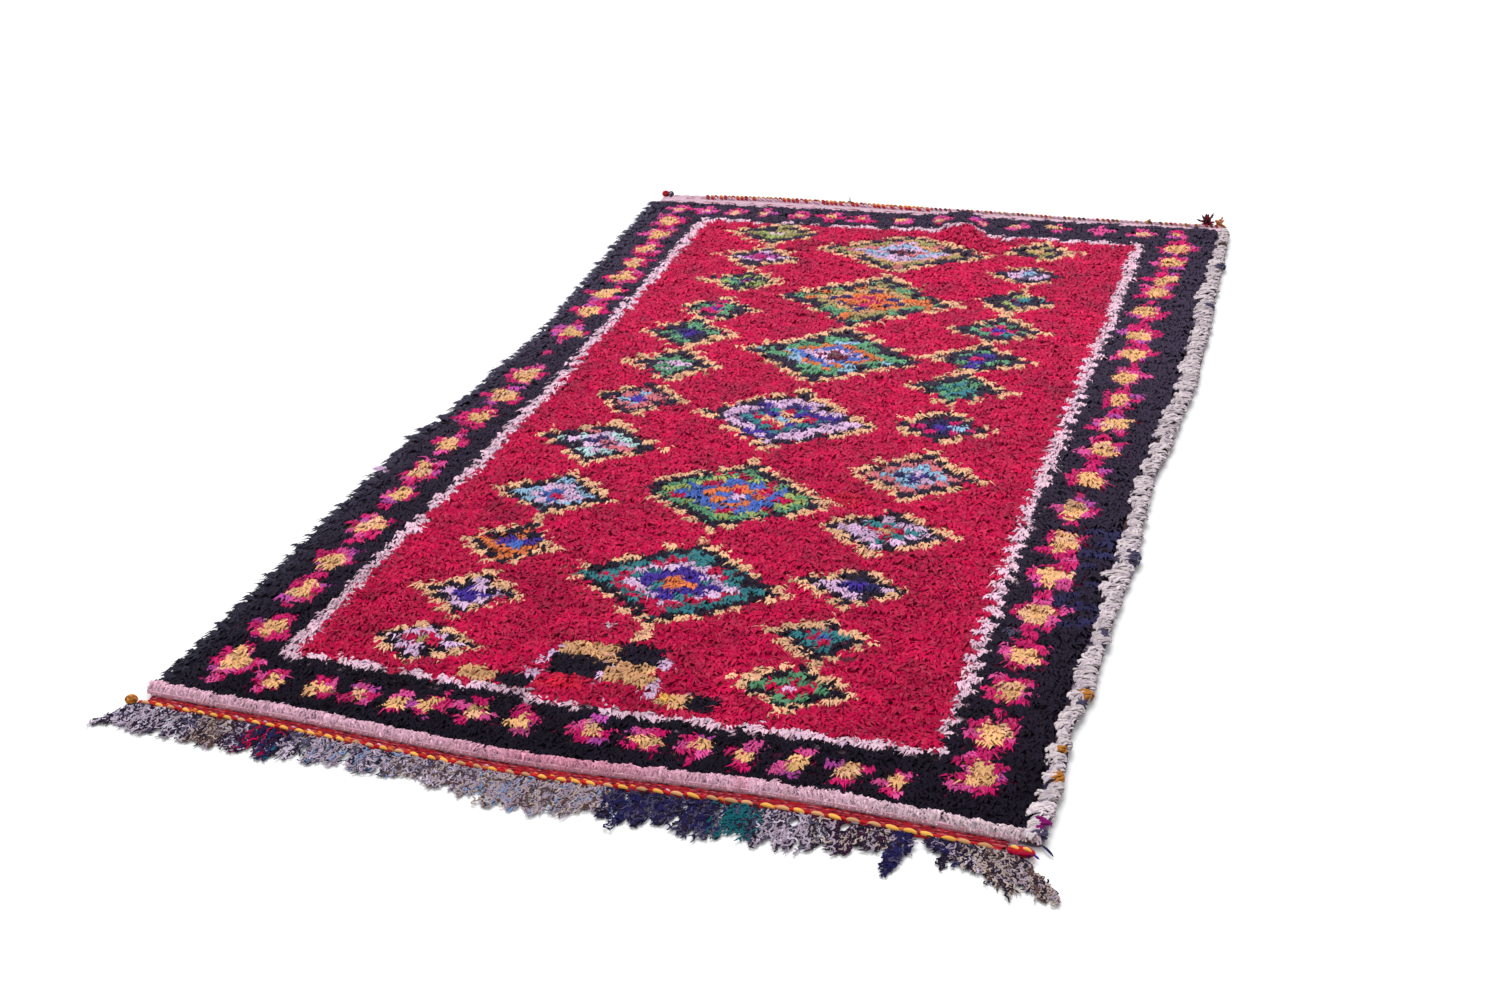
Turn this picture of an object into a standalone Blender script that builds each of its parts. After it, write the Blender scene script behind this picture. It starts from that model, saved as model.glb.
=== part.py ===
"""A hand-knotted rag-pile rug, laid flat on a floor, in metres with +Z up.

The origin is the middle of the pile's underside. +X runs across the rug, +Y runs from
the fringed near end to the plain far end. The pile body is a lumpy slab with locks along
its left rim. An overcast selvage closes its right side. Each end has a flat woven band
and a twined braid, and the near end has a fringe. A ripple lifts the far end a little.
"""

import math
import random

import bmesh
import bpy
from mathutils import noise

# Driving sizes of the whole rug
GAP = 0.0004
PILE_HEIGHT = 0.016
RIM_HEIGHT = 0.011
PILE_LUMP = 0.0022
LUMP_PITCH = 0.085
NEAR_EDGE_Y = -1.125
FAR_EDGE_Y = 1.100

# Rug outline: a row for each station along the rug
#          y    left rim  right rim  selvage width
OUTLINE = [
    (-1.150, -0.738, 0.713, 0.037),
    (-0.990, -0.732, 0.721, 0.030),
    (-0.870, -0.729, 0.717, 0.025),
    (-0.760, -0.731, 0.718, 0.037),
    (-0.560, -0.734, 0.721, 0.034),
    (-0.400, -0.731, 0.721, 0.044),
    (-0.250, -0.736, 0.720, 0.036),
    (-0.130, -0.708, 0.722, 0.031),
    (0.060, -0.698, 0.730, 0.036),
    (0.300, -0.682, 0.738, 0.041),
    (0.500, -0.697, 0.735, 0.042),
    (0.700, -0.711, 0.728, 0.040),
    (0.900, -0.727, 0.730, 0.034),
    (1.105, -0.738, 0.728, 0.028),
]

# How far the near edge lies from its straight line: a row for each station across the rug
NEAR_EDGE_SHIFT = [
    (-0.800, -0.004),
    (-0.550, -0.007),
    (-0.080, -0.021),
    (0.400, 0.001),
    (0.800, -0.008),
]

# Depth of the far band: a row for each station across the rug
FAR_BAND_DEPTH = [
    (-0.800, 0.056),
    (-0.420, 0.072),
    (0.100, 0.055),
    (0.420, 0.040),
    (0.800, 0.035),
]

# The ripple that lifts the far end. Its crest runs slantwise
RIPPLE_HEIGHT = 0.024
RIPPLE_X, RIPPLE_Y = 0.130, 1.000
RIPPLE_SLANT = -0.30
RIPPLE_HALF_WIDTH = 0.042
RIPPLE_NEAR_REACH, RIPPLE_FAR_REACH = 0.105, 0.130
RIPPLE_FLOOR = 0.03

# Pile body
CELLS_ACROSS, CELLS_ALONG = 24, 70
COLUMN_PULL, COLUMN_PULL_REACH = 0.45, 0.20
LOCK_REACH = 0.015

# Sections of a rim lock, as shares of its cell's width, its reach and its cell's height
LOCK_SECTIONS = [
    (0.72, 0.38, 0.90),
    (0.30, 1.00, 0.55),
]

# End bands and braids
BAND_NEAR_DEPTH, BAND_THICKNESS = 0.014, 0.005
BRAID_DIAMETER, BRAID_PITCH = 0.0105, 0.028
BRAID_WAIST = 0.78
BRAID_NEAR_SPAN = (-0.749, 0.700)
BRAID_FAR_SPAN = (-0.712, 0.734)

# Overcast selvage
SELVAGE_HEIGHT, SELVAGE_WIDTH = 0.015, 0.033
WRAP_PITCH, WRAP_WAIST = 0.028, 0.86

# Height of a six-sided cord's middle above its flat underside, for a radius of 1
CORD_REST = math.cos(math.pi / 6.0)

# Fringe
FRINGE_LEFT_X, FRINGE_RIGHT_X = -0.745, 0.700
FRINGE_STRANDS = 124
ROOT_STRIP_DEPTH, ROOT_STRIP_THICKNESS = 0.006, 0.0055
STRAND_WIDTH, STRAND_TIP_WIDTH = 0.0086, 0.0036
STRAND_THICKNESS, STRAND_TIP_THICKNESS = 0.0065, 0.0030
STRAND_SECTIONS = 2

# Fringe length and sideways lean: a row for each station across the near end
#              x     length   lean
FRINGE_CUT = [
    (-0.745, 0.076, -0.040),
    (-0.700, 0.071, -0.012),
    (-0.500, 0.079, 0.002),
    (-0.350, 0.067, 0.002),
    (-0.190, 0.052, 0.000),
    (-0.120, 0.072, 0.000),
    (0.000, 0.086, -0.004),
    (0.120, 0.072, 0.006),
    (0.300, 0.088, 0.004),
    (0.400, 0.093, 0.008),
    (0.500, 0.063, 0.010),
    (0.540, 0.050, 0.008),
    (0.565, 0.098, 0.004),
    (0.582, 0.088, -0.002),
    (0.602, 0.022, 0.000),
    (0.650, 0.048, 0.006),
    (0.680, 0.080, 0.020),
    (0.700, 0.095, 0.090),
]

# Knots that end the braids: a row for each knot
#             name         middle x  from braid  half x  half y  half z  end
KNOTS = [
    ("knot_near_left", -0.7609, 0.0000, 0.0115, 0.0095, 0.0090, "near"),
    ("knot_near_right", 0.7219, 0.0000, 0.0215, 0.0100, 0.0085, "near"),
    ("knot_far_left", -0.7294, 0.0066, 0.0170, 0.0125, 0.0110, "far"),
    ("knot_far_right", 0.7080, 0.0170, 0.0310, 0.0150, 0.0190, "far"),
]


def smooth(t):
    """A smooth step from 0 to 1."""
    t = min(1.0, max(0.0, t))
    return t * t * (3.0 - 2.0 * t)


def read(table, at, column):
    """The column's value at a station of a table, smoothly between its rows."""
    if at <= table[0][0]:
        return table[0][column]
    for low, high in zip(table, table[1:]):
        if at <= high[0]:
            share = smooth((at - low[0]) / (high[0] - low[0]))
            return low[column] + share * (high[column] - low[column])
    return table[-1][column]


def near_edge(x):
    """Y of the pile's near edge."""
    return NEAR_EDGE_Y + read(NEAR_EDGE_SHIFT, x, 1)


def ripple(x, y):
    """How far the ripple lifts the rug off the floor."""
    crest_x = RIPPLE_X + RIPPLE_SLANT * (y - RIPPLE_Y)
    across = ((x - crest_x) / RIPPLE_HALF_WIDTH) ** 2
    if y < RIPPLE_Y:
        along = ((y - RIPPLE_Y) / RIPPLE_NEAR_REACH) ** 2
    else:
        along = ((y - RIPPLE_Y) / RIPPLE_FAR_REACH) ** 4
    return RIPPLE_HEIGHT * max(0.0, math.exp(-across - along) - RIPPLE_FLOOR)


def lump(x, y):
    """Unevenness of the pile's top, from about -1 to 1."""
    return noise.noise((x / LUMP_PITCH, y / LUMP_PITCH, 0.37)) * 1.6


def named(name, collection, mesh, colour, roughness=0.95):
    """An object of that mesh with its own cloth material."""
    material = bpy.data.materials.new(name)
    material.use_nodes = True
    shader = material.node_tree.nodes["Principled BSDF"]
    shader.inputs["Base Color"].default_value = (*colour, 1.0)
    shader.inputs["Roughness"].default_value = roughness
    shader.inputs["Metallic"].default_value = 0.0
    mesh.materials.append(material)
    made = bpy.data.objects.new(name, mesh)
    collection.objects.link(made)
    return made


def grid_mesh(name, across, along):
    """A flat unit grid, from -0.5 to 0.5 each way."""
    made = bmesh.new()
    bmesh.ops.create_grid(made, x_segments=across, y_segments=along, size=0.5)
    mesh = bpy.data.meshes.new(name)
    return made, mesh


def thicken(made, thickness):
    """Raises a copy of the flat grid by thickness(x, y) and closes it into a slab. Returns its side faces."""
    floor_verts = list(made.verts)
    raised = bmesh.ops.extrude_face_region(made, geom=list(made.faces))
    top_verts = [v for v in raised["geom"] if isinstance(v, bmesh.types.BMVert)]
    top_faces = {f for f in raised["geom"] if isinstance(f, bmesh.types.BMFace)}
    for vert in top_verts:
        vert.co.z += thickness(vert.co.x, vert.co.y)
    tops, floors = set(top_verts), set(floor_verts)
    sides = [
        face
        for face in made.faces
        if face not in top_faces
        and any(v in tops for v in face.verts)
        and any(v in floors for v in face.verts)
    ]
    bmesh.ops.recalc_face_normals(made, faces=list(made.faces))
    return sides


def pile_thickness(x, y):
    """Height of the pile above its underside: lower and rounded at the rim."""
    to_rim = min(
        x - read(OUTLINE, y, 1),
        read(OUTLINE, y, 2) - x,
        y - near_edge(x),
        FAR_EDGE_Y - y,
    )
    inside = smooth(to_rim / 0.05)
    return RIM_HEIGHT + (PILE_HEIGHT - RIM_HEIGHT + PILE_LUMP * lump(x, y)) * inside


def add_rim_locks(made, sides):
    """Draws a lock out of each cell of the left rim, leaning towards the near end."""
    for face in sorted(sides, key=lambda f: f.calc_center_median().y):
        if face.normal.x > -0.9:
            continue
        reach = LOCK_REACH * random.uniform(0.55, 1.30)
        lean = random.uniform(0.003, 0.009)
        root = face.calc_center_median()
        half = max(v.co.y for v in face.verts) - root.y
        floor = min(v.co.z for v in face.verts)
        height = max(v.co.z for v in face.verts) - floor
        for width_share, reach_share, height_share in LOCK_SECTIONS:
            face = bmesh.ops.extrude_discrete_faces(made, faces=[face])["faces"][0]
            middle = face.calc_center_median()
            for vert in face.verts:
                side = math.copysign(half * width_share, vert.co.y - middle.y)
                is_top = vert.co.z > middle.z
                vert.co = (
                    root.x - reach * reach_share,
                    root.y + side - lean * reach_share,
                    floor + (height * height_share if is_top else 0.0),
                )


def column_share(share, crest):
    """A column's place across the pile, from 0 to 1, drawn towards the ripple's crest but not at the rims."""
    pull = COLUMN_PULL * math.exp(-(((share - crest) / COLUMN_PULL_REACH) ** 2))
    return share + 4.0 * share * (1.0 - share) * pull * (crest - share)


def make_pile_body(collection):
    """The knotted pile: a lumpy slab with locks at its left rim."""
    made, mesh = grid_mesh("pile_body", CELLS_ACROSS, CELLS_ALONG)
    for vert in made.verts:
        y = vert.co.y * (FAR_EDGE_Y - NEAR_EDGE_Y) + 0.5 * (FAR_EDGE_Y + NEAR_EDGE_Y)
        left, right = read(OUTLINE, y, 1), read(OUTLINE, y, 2)
        crest = (RIPPLE_X - left) / (right - left)
        x = left + column_share(vert.co.x + 0.5, crest) * (right - left)
        share_near = 0.5 - vert.co.y
        y += (near_edge(x) - NEAR_EDGE_Y) * share_near ** 4
        vert.co = (x, y, ripple(x, y))
    sides = thicken(made, pile_thickness)
    add_rim_locks(made, sides)
    made.to_mesh(mesh)
    made.free()
    return named("pile_body", collection, mesh, (0.46, 0.02, 0.06))


def make_strip(name, collection, span, edge_of, depth_of, colour, cells=44):
    """A flat woven strip that lies from edge_of(x) to depth_of(x) further out, following the ripple."""
    made, mesh = grid_mesh(name, cells, 1)
    for vert in made.verts:
        x = span[0] + (vert.co.x + 0.5) * (span[1] - span[0])
        y = edge_of(x) + (depth_of(x) if vert.co.y > 0.0 else 0.0)
        vert.co = (x, y, ripple(x, y))
    thicken(made, lambda x, y: BAND_THICKNESS)
    made.to_mesh(mesh)
    made.free()
    return named(name, collection, mesh, colour)


def far_band_outer(x):
    """Y of the far band's outer edge."""
    return FAR_EDGE_Y + GAP + read(FAR_BAND_DEPTH, x, 1)


def make_cord(name, collection, points, radii, flatness, colour):
    """A lumpy six-sided cord along the points, with a radius at each, flattened in Z."""
    curve = bpy.data.curves.new(name, "CURVE")
    curve.dimensions = "3D"
    curve.bevel_depth = 1.0
    curve.bevel_resolution = 1
    curve.use_fill_caps = True
    spline = curve.splines.new("POLY")
    spline.points.add(len(points) - 1)
    for point, place, radius in zip(spline.points, points, radii):
        point.co = (*place, 1.0)
        point.radius = radius
    made = named(name, collection, curve, colour)
    made.scale = (1.0, 1.0, flatness)
    return made


def make_braid(name, collection, span, y_of, colour):
    """A twined braid along one end: a cord with a raised stitch at each half twist."""
    stitches = round((span[1] - span[0]) / BRAID_PITCH)
    steps = 2 * stitches
    points, radii = [], []
    for step in range(steps + 1):
        x = span[0] + (span[1] - span[0]) * step / steps
        y = y_of(x)
        radius = BRAID_DIAMETER / 2.0 * (1.0 if step % 2 else BRAID_WAIST)
        points.append((x, y, radius * CORD_REST + ripple(x, y)))
        radii.append(radius)
    return make_cord(name, collection, points, radii, 1.0, colour)


def make_selvage(collection):
    """The overcast edge: a flattened cord along the right rim with a raised wrap at each turn."""
    wraps = round((FAR_EDGE_Y - NEAR_EDGE_Y) / WRAP_PITCH)
    steps = 2 * wraps
    start = near_edge(read(OUTLINE, NEAR_EDGE_Y, 2))
    flatness = SELVAGE_HEIGHT / SELVAGE_WIDTH
    points, radii = [], []
    for step in range(steps + 1):
        y = start + (FAR_EDGE_Y - start) * step / steps
        half = read(OUTLINE, y, 3) / 2.0
        radius = half * (1.0 if step % 2 else WRAP_WAIST)
        points.append((read(OUTLINE, y, 2) + GAP + half, y, radius * CORD_REST))
        radii.append(radius)
    return make_cord("selvage_right", collection, points, radii, flatness, (0.62, 0.52, 0.55))


def strand_section(root_x, share, length, lean, wave):
    """Middle, width and thickness of a fringe strand, a share of the way to its tip."""
    x = root_x + lean * share * share + wave * math.sin(math.pi * share)
    y = fringe_root_y(root_x) - length * share
    width = STRAND_WIDTH + (STRAND_TIP_WIDTH - STRAND_WIDTH) * share
    thickness = STRAND_THICKNESS + (STRAND_TIP_THICKNESS - STRAND_THICKNESS) * share
    return x, y, width, thickness


def braid_near_y(x):
    """Y of the near braid's middle line."""
    return near_edge(x) - 2.0 * GAP - BAND_NEAR_DEPTH - GAP - BRAID_DIAMETER / 2.0


def fringe_root_y(x):
    """Y of the fringe strip's outer side, where the strands start."""
    return braid_near_y(x) - BRAID_DIAMETER / 2.0 - GAP - ROOT_STRIP_DEPTH


def make_fringe(collection):
    """The warp fringe: a narrow root strip with a strand drawn out of every other cell, each resting on the floor."""
    cells = 2 * FRINGE_STRANDS - 1
    made, mesh = grid_mesh("fringe_near", cells, 1)
    pitch = (FRINGE_RIGHT_X - FRINGE_LEFT_X) / FRINGE_STRANDS
    gap = pitch - STRAND_WIDTH
    columns = []
    for index in range(cells + 1):
        columns.append(FRINGE_LEFT_X + (index // 2) * pitch + (index % 2) * STRAND_WIDTH)
    for vert in made.verts:
        x = columns[round((vert.co.x + 0.5) * cells)]
        y = fringe_root_y(x) + (ROOT_STRIP_DEPTH if vert.co.y > 0.0 else 0.0)
        vert.co = (x, y, 0.0)
    sides = thicken(made, lambda x, y: ROOT_STRIP_THICKNESS)
    for face in sorted(sides, key=lambda f: f.calc_center_median().x):
        if face.normal.y > -0.7:
            continue
        root_x = face.calc_center_median().x
        cell = (root_x - FRINGE_LEFT_X) / pitch
        if abs(cell - round(cell - 0.5) - 0.5) > 0.5 * gap / pitch + 0.2:
            continue
        draw_strand(made, face, root_x)
    made.to_mesh(mesh)
    made.free()
    return named("fringe_near", collection, mesh, (0.30, 0.27, 0.32))


def draw_strand(made, face, root_x):
    """Extrudes one strand out of a side face, section by section."""
    length = read(FRINGE_CUT, root_x, 1) * (0.86 + 0.20 * random.random())
    lean = read(FRINGE_CUT, root_x, 2)
    wave = 0.004 * noise.noise((root_x / 0.07, 2.9, 0.0))
    for section in range(1, STRAND_SECTIONS + 1):
        share = section / STRAND_SECTIONS
        x, y, width, thickness = strand_section(root_x, share, length, lean, wave)
        face = bmesh.ops.extrude_discrete_faces(made, faces=[face])["faces"][0]
        middle = face.calc_center_median()
        for vert in face.verts:
            side = math.copysign(0.5, vert.co.x - middle.x)
            is_top = vert.co.z > middle.z
            vert.co = (x + side * width, y, thickness if is_top else 0.0)


def make_knot(collection, name, x, from_braid, half_x, half_y, half_z, end):
    """A lumpy knot of yarn at a braid's end, flat where it rests."""
    y = braid_near_y(x) if end == "near" else braid_far_y(x) + from_braid
    made = bmesh.new()
    bmesh.ops.create_uvsphere(made, u_segments=12, v_segments=8, radius=1.0)
    rest = 0.82
    for vert in made.verts:
        swell = 1.0 + 0.16 * noise.noise(vert.co * 2.1 + vert.co.zxy * x)
        if max(abs(vert.co.x), abs(vert.co.y)) > 0.9:
            swell = 1.0
        low = max(-rest, vert.co.z * swell)
        vert.co = (
            x + half_x * max(-1.0, min(1.0, vert.co.x * swell)),
            y + half_y * vert.co.y * swell,
            half_z * (low + rest),
        )
    mesh = bpy.data.meshes.new(name)
    made.to_mesh(mesh)
    made.free()
    return named(name, collection, mesh, (0.45, 0.12, 0.06))


def braid_far_y(x):
    """Y of the far braid's middle line."""
    return far_band_outer(x) + GAP + BRAID_DIAMETER / 2.0


def main():
    for old in list(bpy.data.objects):
        bpy.data.objects.remove(old, do_unlink=True)
    random.seed(11)
    rug = bpy.data.collections.new("rag_pile_rug")
    bpy.context.scene.collection.children.link(rug)
    make_pile_body(rug)
    make_selvage(rug)
    make_strip(
        "band_near",
        rug,
        (read(OUTLINE, NEAR_EDGE_Y, 1) + 0.004, BRAID_NEAR_SPAN[1] - 0.001),
        lambda x: near_edge(x) - 2.0 * GAP - BAND_NEAR_DEPTH,
        lambda x: BAND_NEAR_DEPTH,
        (0.36, 0.05, 0.05),
    )
    make_strip(
        "band_far",
        rug,
        (read(OUTLINE, FAR_EDGE_Y, 1) + 0.004, read(OUTLINE, FAR_EDGE_Y, 2) + 0.010),
        lambda x: FAR_EDGE_Y + GAP,
        lambda x: read(FAR_BAND_DEPTH, x, 1),
        (0.62, 0.42, 0.48),
    )
    make_braid("braid_near", rug, BRAID_NEAR_SPAN, braid_near_y, (0.70, 0.22, 0.03))
    make_braid("braid_far", rug, BRAID_FAR_SPAN, braid_far_y, (0.70, 0.22, 0.03))
    make_fringe(rug)
    for knot in KNOTS:
        make_knot(rug, *knot)


main()
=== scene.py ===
"""Looks for the rag-pile rug: knotted pile, braids, overcast side and fringe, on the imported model."""

import math

import bpy
import numpy as np
from mathutils import Matrix, Vector, noise


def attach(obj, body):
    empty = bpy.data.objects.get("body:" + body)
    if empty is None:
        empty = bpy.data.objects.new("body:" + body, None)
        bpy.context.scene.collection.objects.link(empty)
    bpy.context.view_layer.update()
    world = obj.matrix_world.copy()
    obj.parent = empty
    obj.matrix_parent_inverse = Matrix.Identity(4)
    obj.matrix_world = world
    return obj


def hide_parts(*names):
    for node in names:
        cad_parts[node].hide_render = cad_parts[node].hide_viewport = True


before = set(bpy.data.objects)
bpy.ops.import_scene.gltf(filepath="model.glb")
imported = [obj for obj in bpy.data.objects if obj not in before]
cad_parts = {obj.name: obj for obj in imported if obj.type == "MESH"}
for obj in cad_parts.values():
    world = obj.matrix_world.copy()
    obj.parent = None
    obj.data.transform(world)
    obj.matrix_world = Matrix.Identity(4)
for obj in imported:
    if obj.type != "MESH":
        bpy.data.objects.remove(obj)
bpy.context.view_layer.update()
rng = np.random.default_rng(7)

# Heights above the floor, in metres, and the ground's painted shade under the pile
GROUND_TOP, GROUND_SHADE = 0.0128, 0.90
LOCK_ROOT = 0.0085
PILE_TOP = 0.0165

# Rug outline, as the frame has it: y, left rim, right rim and width of the overcast side at each station
OUTLINE = [
    (-1.150, -0.738, 0.713, 0.037), (-0.990, -0.732, 0.721, 0.030), (-0.870, -0.729, 0.717, 0.025),
    (-0.760, -0.731, 0.718, 0.037), (-0.560, -0.734, 0.721, 0.034), (-0.400, -0.731, 0.721, 0.044),
    (-0.250, -0.736, 0.720, 0.036), (-0.130, -0.708, 0.722, 0.031), (0.060, -0.698, 0.730, 0.036),
    (0.300, -0.682, 0.738, 0.041), (0.500, -0.697, 0.735, 0.042), (0.700, -0.711, 0.728, 0.040),
    (0.900, -0.727, 0.730, 0.034), (1.105, -0.738, 0.728, 0.028),
]
NEAR_EDGE_Y, FAR_EDGE_Y = -1.125, 1.100

# How far the near edge lies from its straight line: x and shift at each station
NEAR_EDGE_SHIFT = [
    (-0.800, -0.004), (-0.550, -0.007), (-0.080, -0.021), (0.400, 0.001), (0.800, -0.008),
]

# Depth of the far band: x and depth at each station
FAR_BAND_DEPTH = [
    (-0.800, 0.056), (-0.420, 0.072), (0.100, 0.055), (0.420, 0.040), (0.800, 0.035),
]

# The ripple that lifts the far end. Its crest runs slantwise
RIPPLE_HEIGHT = 0.024
RIPPLE_X, RIPPLE_Y = 0.130, 1.000
RIPPLE_SLANT = -0.30
RIPPLE_HALF_WIDTH = 0.042
RIPPLE_NEAR_REACH, RIPPLE_FAR_REACH = 0.105, 0.130
RIPPLE_FLOOR = 0.03

# Ends, from the pile's edge outwards
GAP = 0.0004
BAND_NEAR_DEPTH, BAND_THICKNESS = 0.014, 0.005
BRAID_DIAMETER = 0.0105
BRAID_NEAR_SPAN = (-0.749, 0.700)
BRAID_FAR_SPAN = (-0.712, 0.734)

# Knots of the pile, how far they stray from their grid, and how much one sways and swells
KNOT_COLUMNS, KNOT_ROWS = 56, 123
KNOT_STRAY_X, KNOT_STRAY_Y = 0.0024, 0.0022
KNOT_SWAY, KNOT_SWELL = 0.32, 0.0007

# Locks of a knot: their roots' reach aside, back and along, their fan, shortest and longest share and droop
LOCKS_PER_KNOT = 28
ROOT_ASIDE, ROOT_BACK, ROOT_ALONG = 0.0095, 0.0085, 0.0080
FAN_ANGLE, FAN_SPREAD = 0.40, 0.12
LOCK_LENGTH, LOCK_LENGTHS = 0.0205, (0.65, 1.15)
LOCK_NARROW, LOCK_WIDE = 0.0028, 0.0095
LOCK_SWAY, FIELD_LOCK_SWAY = 0.55, 0.85
LOCK_ROLL, LOCK_DROOP = 0.13, (0.0018, 0.0044)
LOCK_CROWN, LOCK_CROWN_SPREAD = 0.0010, 0.0008

# Loose locks: their share of all, and their length, width and height beside the others
LOOSE_SHARE, LOOSE_LENGTH, LOOSE_WIDTH, LOOSE_RISE = 0.04, 1.4, 0.5, 0.002

# Locks at the left rim: teeth, how many columns in they fade out, and their turn outwards and fall
RIM_TOOTH_PITCH, RIM_TOOTH_REACH = 0.031, 0.013
RIM_FADE, RIM_TURN, RIM_FALL = 0.8, 0.9, 0.002

# Unevenness over the pile: each cloud's pitch, seed and depth in the field and outside it
CLOUDS = {
    "sway": (0.060, 3.1, 0.35, 0.35),
    "swell": (0.045, 7.7, 0.0016, 0.0016),
    "wide tone": (0.160, 1.9, 0.11, 0.04),
    "fine tone": (0.042, 9.4, 0.20, 0.07),
}

# Tones of knots, with their spread in the field and outside it, and of locks
KNOT_TONE, KNOT_TONE_SPREAD = 0.87, (0.07, 0.10)
LOCK_TONE_SPREAD, LOCK_TONE_LIMITS, LOCK_DYE_SPREAD = 0.055, (0.40, 1.5), 0.04
# Painted shade and light along a lock, at its root pair, crown pair and tip: darker at the root, deep in
# the pile, lighter at the tip
LOCK_SHADE = np.array([0.84, 0.84, 0.98, 0.98, 1.04])

# How much a lock's dye follows its knot's place, inside this x and outside it
WHOLE_KNOTS_X, KNOT_WEIGHTS = 0.5, (0.7, 0.5)
SEEN_AHEAD = 0.0028

# Painted fibre sheen on a lock, of random strength, as a share of its dye, in linear light
LOCK_SHEEN = 0.055

# Painted sheen on the locks at the left rim, in linear light
RIM_SHEEN = (0.017, 0.018, 0.026)

# Painted sheen: the far pile is painted paler, as grazing light shows it: its gain in brightness, and the
# painted sheen that dark dyes take on in linear light
FAR_SHEEN_GAIN, FAR_SHEEN_TINT = 0.60, (0.036, 0.026, 0.046)

# A lock's half width at its root and its crown, and the crown's share of its length
ROOT_HALF, CROWN_HALF, CROWN_SHARE = 0.40, 0.50, 0.40
LOCK_VERTS = 5

# Pink stripe along the near end, in crinkled tufts
STRIPE_PITCH, STRIPE_RIBBONS, STRIPE_POINTS = 0.0076, 9, 7
STRIPE_PAST_LEFT, STRIPE_RIGHT, STRIPE_COVER = 0.012, 0.738, 0.008
STRIPE_TUFT_HALF, STRIPE_RIBBON_HALF = 0.0072, (0.0016, 0.0030)
# Its x and depth at each station
STRIPE_DEPTH = [
    (-0.750, 0.024), (-0.400, 0.021), (-0.050, 0.017), (0.350, 0.023), (0.740, 0.017),
]
# Height of its tufts, from their roots to their tips
STRIPE_PROFILE_AT = (0.0, 0.2, 0.5, 0.8, 1.0)
STRIPE_PROFILE_Z = (0.0130, 0.0175, 0.0170, 0.0140, 0.0090)

# Painted shade on a ribbon's sides and a painted highlight on its raised middle
TENT_SHADE = np.array([0.78, 1.08, 0.78])[:, None]

# Overcast side: bundles of matted rag locks over a core
BUNDLE_PITCH, BUNDLE_LOCKS, BUNDLE_BULK = 0.0205, 44, 0.0020
SELVAGE_WIDTH = 0.040
# From its outer edge to the pile: the share, how far out in half widths, and height
BUNDLE_PROFILE = [
    (0.00, 0.98, 0.0045), (0.12, 1.02, 0.0100), (0.25, 0.80, 0.0150), (0.50, 0.15, 0.0180),
    (0.80, -0.70, 0.0175), (1.20, -1.70, 0.0140),
]
# Bits of other yarns at its outer edge: their reach along it and inwards, and each one's y and dye
BIT_HALF, BIT_REACH = 0.013, 0.40
SELVAGE_BITS = [
    (-1.122, "slate"), (-1.098, "plum"), (-1.000, "ochre"), (-0.940, "ochre"), (-0.815, "slate"),
    (-0.790, "ochre"), (-0.620, "slate"), (-0.395, "slate"), (0.660, "slate"), (0.880, "slate"),
    (1.010, "umber"),
]

# Braids: stitches that lie over red cords
STITCH_PITCH = 0.0270
# The near braid's upper stitches: x, length and half width at each station
NEAR_STITCHES = [
    (-0.750, 0.016, 0.0036), (0.050, 0.018, 0.0036), (0.250, 0.023, 0.0040), (0.710, 0.024, 0.0043),
]

# Fringe: x, length and sideways lean at each station
FRINGE_CUT = [
    (-0.745, 0.076, -0.040), (-0.700, 0.071, -0.012), (-0.500, 0.079, 0.002), (-0.350, 0.067, 0.002),
    (-0.190, 0.052, 0.000), (-0.120, 0.072, 0.000), (0.000, 0.086, -0.004), (0.120, 0.072, 0.006),
    (0.300, 0.088, 0.004), (0.400, 0.093, 0.008), (0.500, 0.063, 0.010), (0.536, 0.044, 0.008),
    (0.562, 0.048, 0.000), (0.600, 0.022, 0.000), (0.650, 0.048, 0.006), (0.680, 0.080, 0.020),
    (0.700, 0.095, 0.090),
]
FRINGE_SPAN = (-0.746, 0.702)
FRINGE_YARNS, FRINGE_POINTS = 660, 24
CURLS_PER_YARN, CURL_POINTS = 5, 7
FRINGE_NARROW, FRINGE_WIDE = 0.0011, 0.0019
LIGHT_YARNS = 0.50
FRINGE_CLUMP, FRINGE_DROP, FRINGE_WANDER = 0.045, 0.0035, 0.0050
CURL_PITCH, CURL_RADIUS, CURL_LENGTH = (0.012, 0.019), (0.0018, 0.0038), (0.016, 0.028)
FRINGE_GAP_X, FRINGE_GAP_HALF = 0.582, 0.013

# Fringe yarns: each stretch ends at x and takes its light and its dark yarns' dyes from the lists
#       to x    light yarns                    dark yarns
FRINGE_DYES = [
    (-0.610, "chalk,chalk,mauve", "soot,slate,soot"),
    (-0.555, "sand,sand,mauve", "umber,soot,umber"),
    (-0.525, "chalk,mauve,slate", "soot,aubergine"),
    (-0.450, "slate,navy,crimson,petrol,navy", "navy,soot,aubergine"),
    (-0.390, "chalk,chalk,mauve", "slate,soot,slate"),
    (-0.240, "mauve,chalk,mauve,dust blue", "slate,mauve,soot"),
    (-0.100, "mauve,sand,chalk,mauve", "mauve,slate,umber"),
    (0.105, "sand,mauve,mauve,sand,dust blue", "mauve,mauve,umber"),
    (0.285, "slate,navy,slate", "navy,soot,soot"),
    (0.345, "petrol,petrol,slate", "soot,petrol"),
    (0.445, "chalk,mauve,mauve", "slate,soot,soot"),
    (0.548, "mauve,aubergine,sand", "aubergine,soot,soot"),
    (0.650, "slate,navy,mauve", "navy,soot,soot"),
    (0.800, "sand,mauve,sand", "soot,umber,soot"),
]

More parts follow.
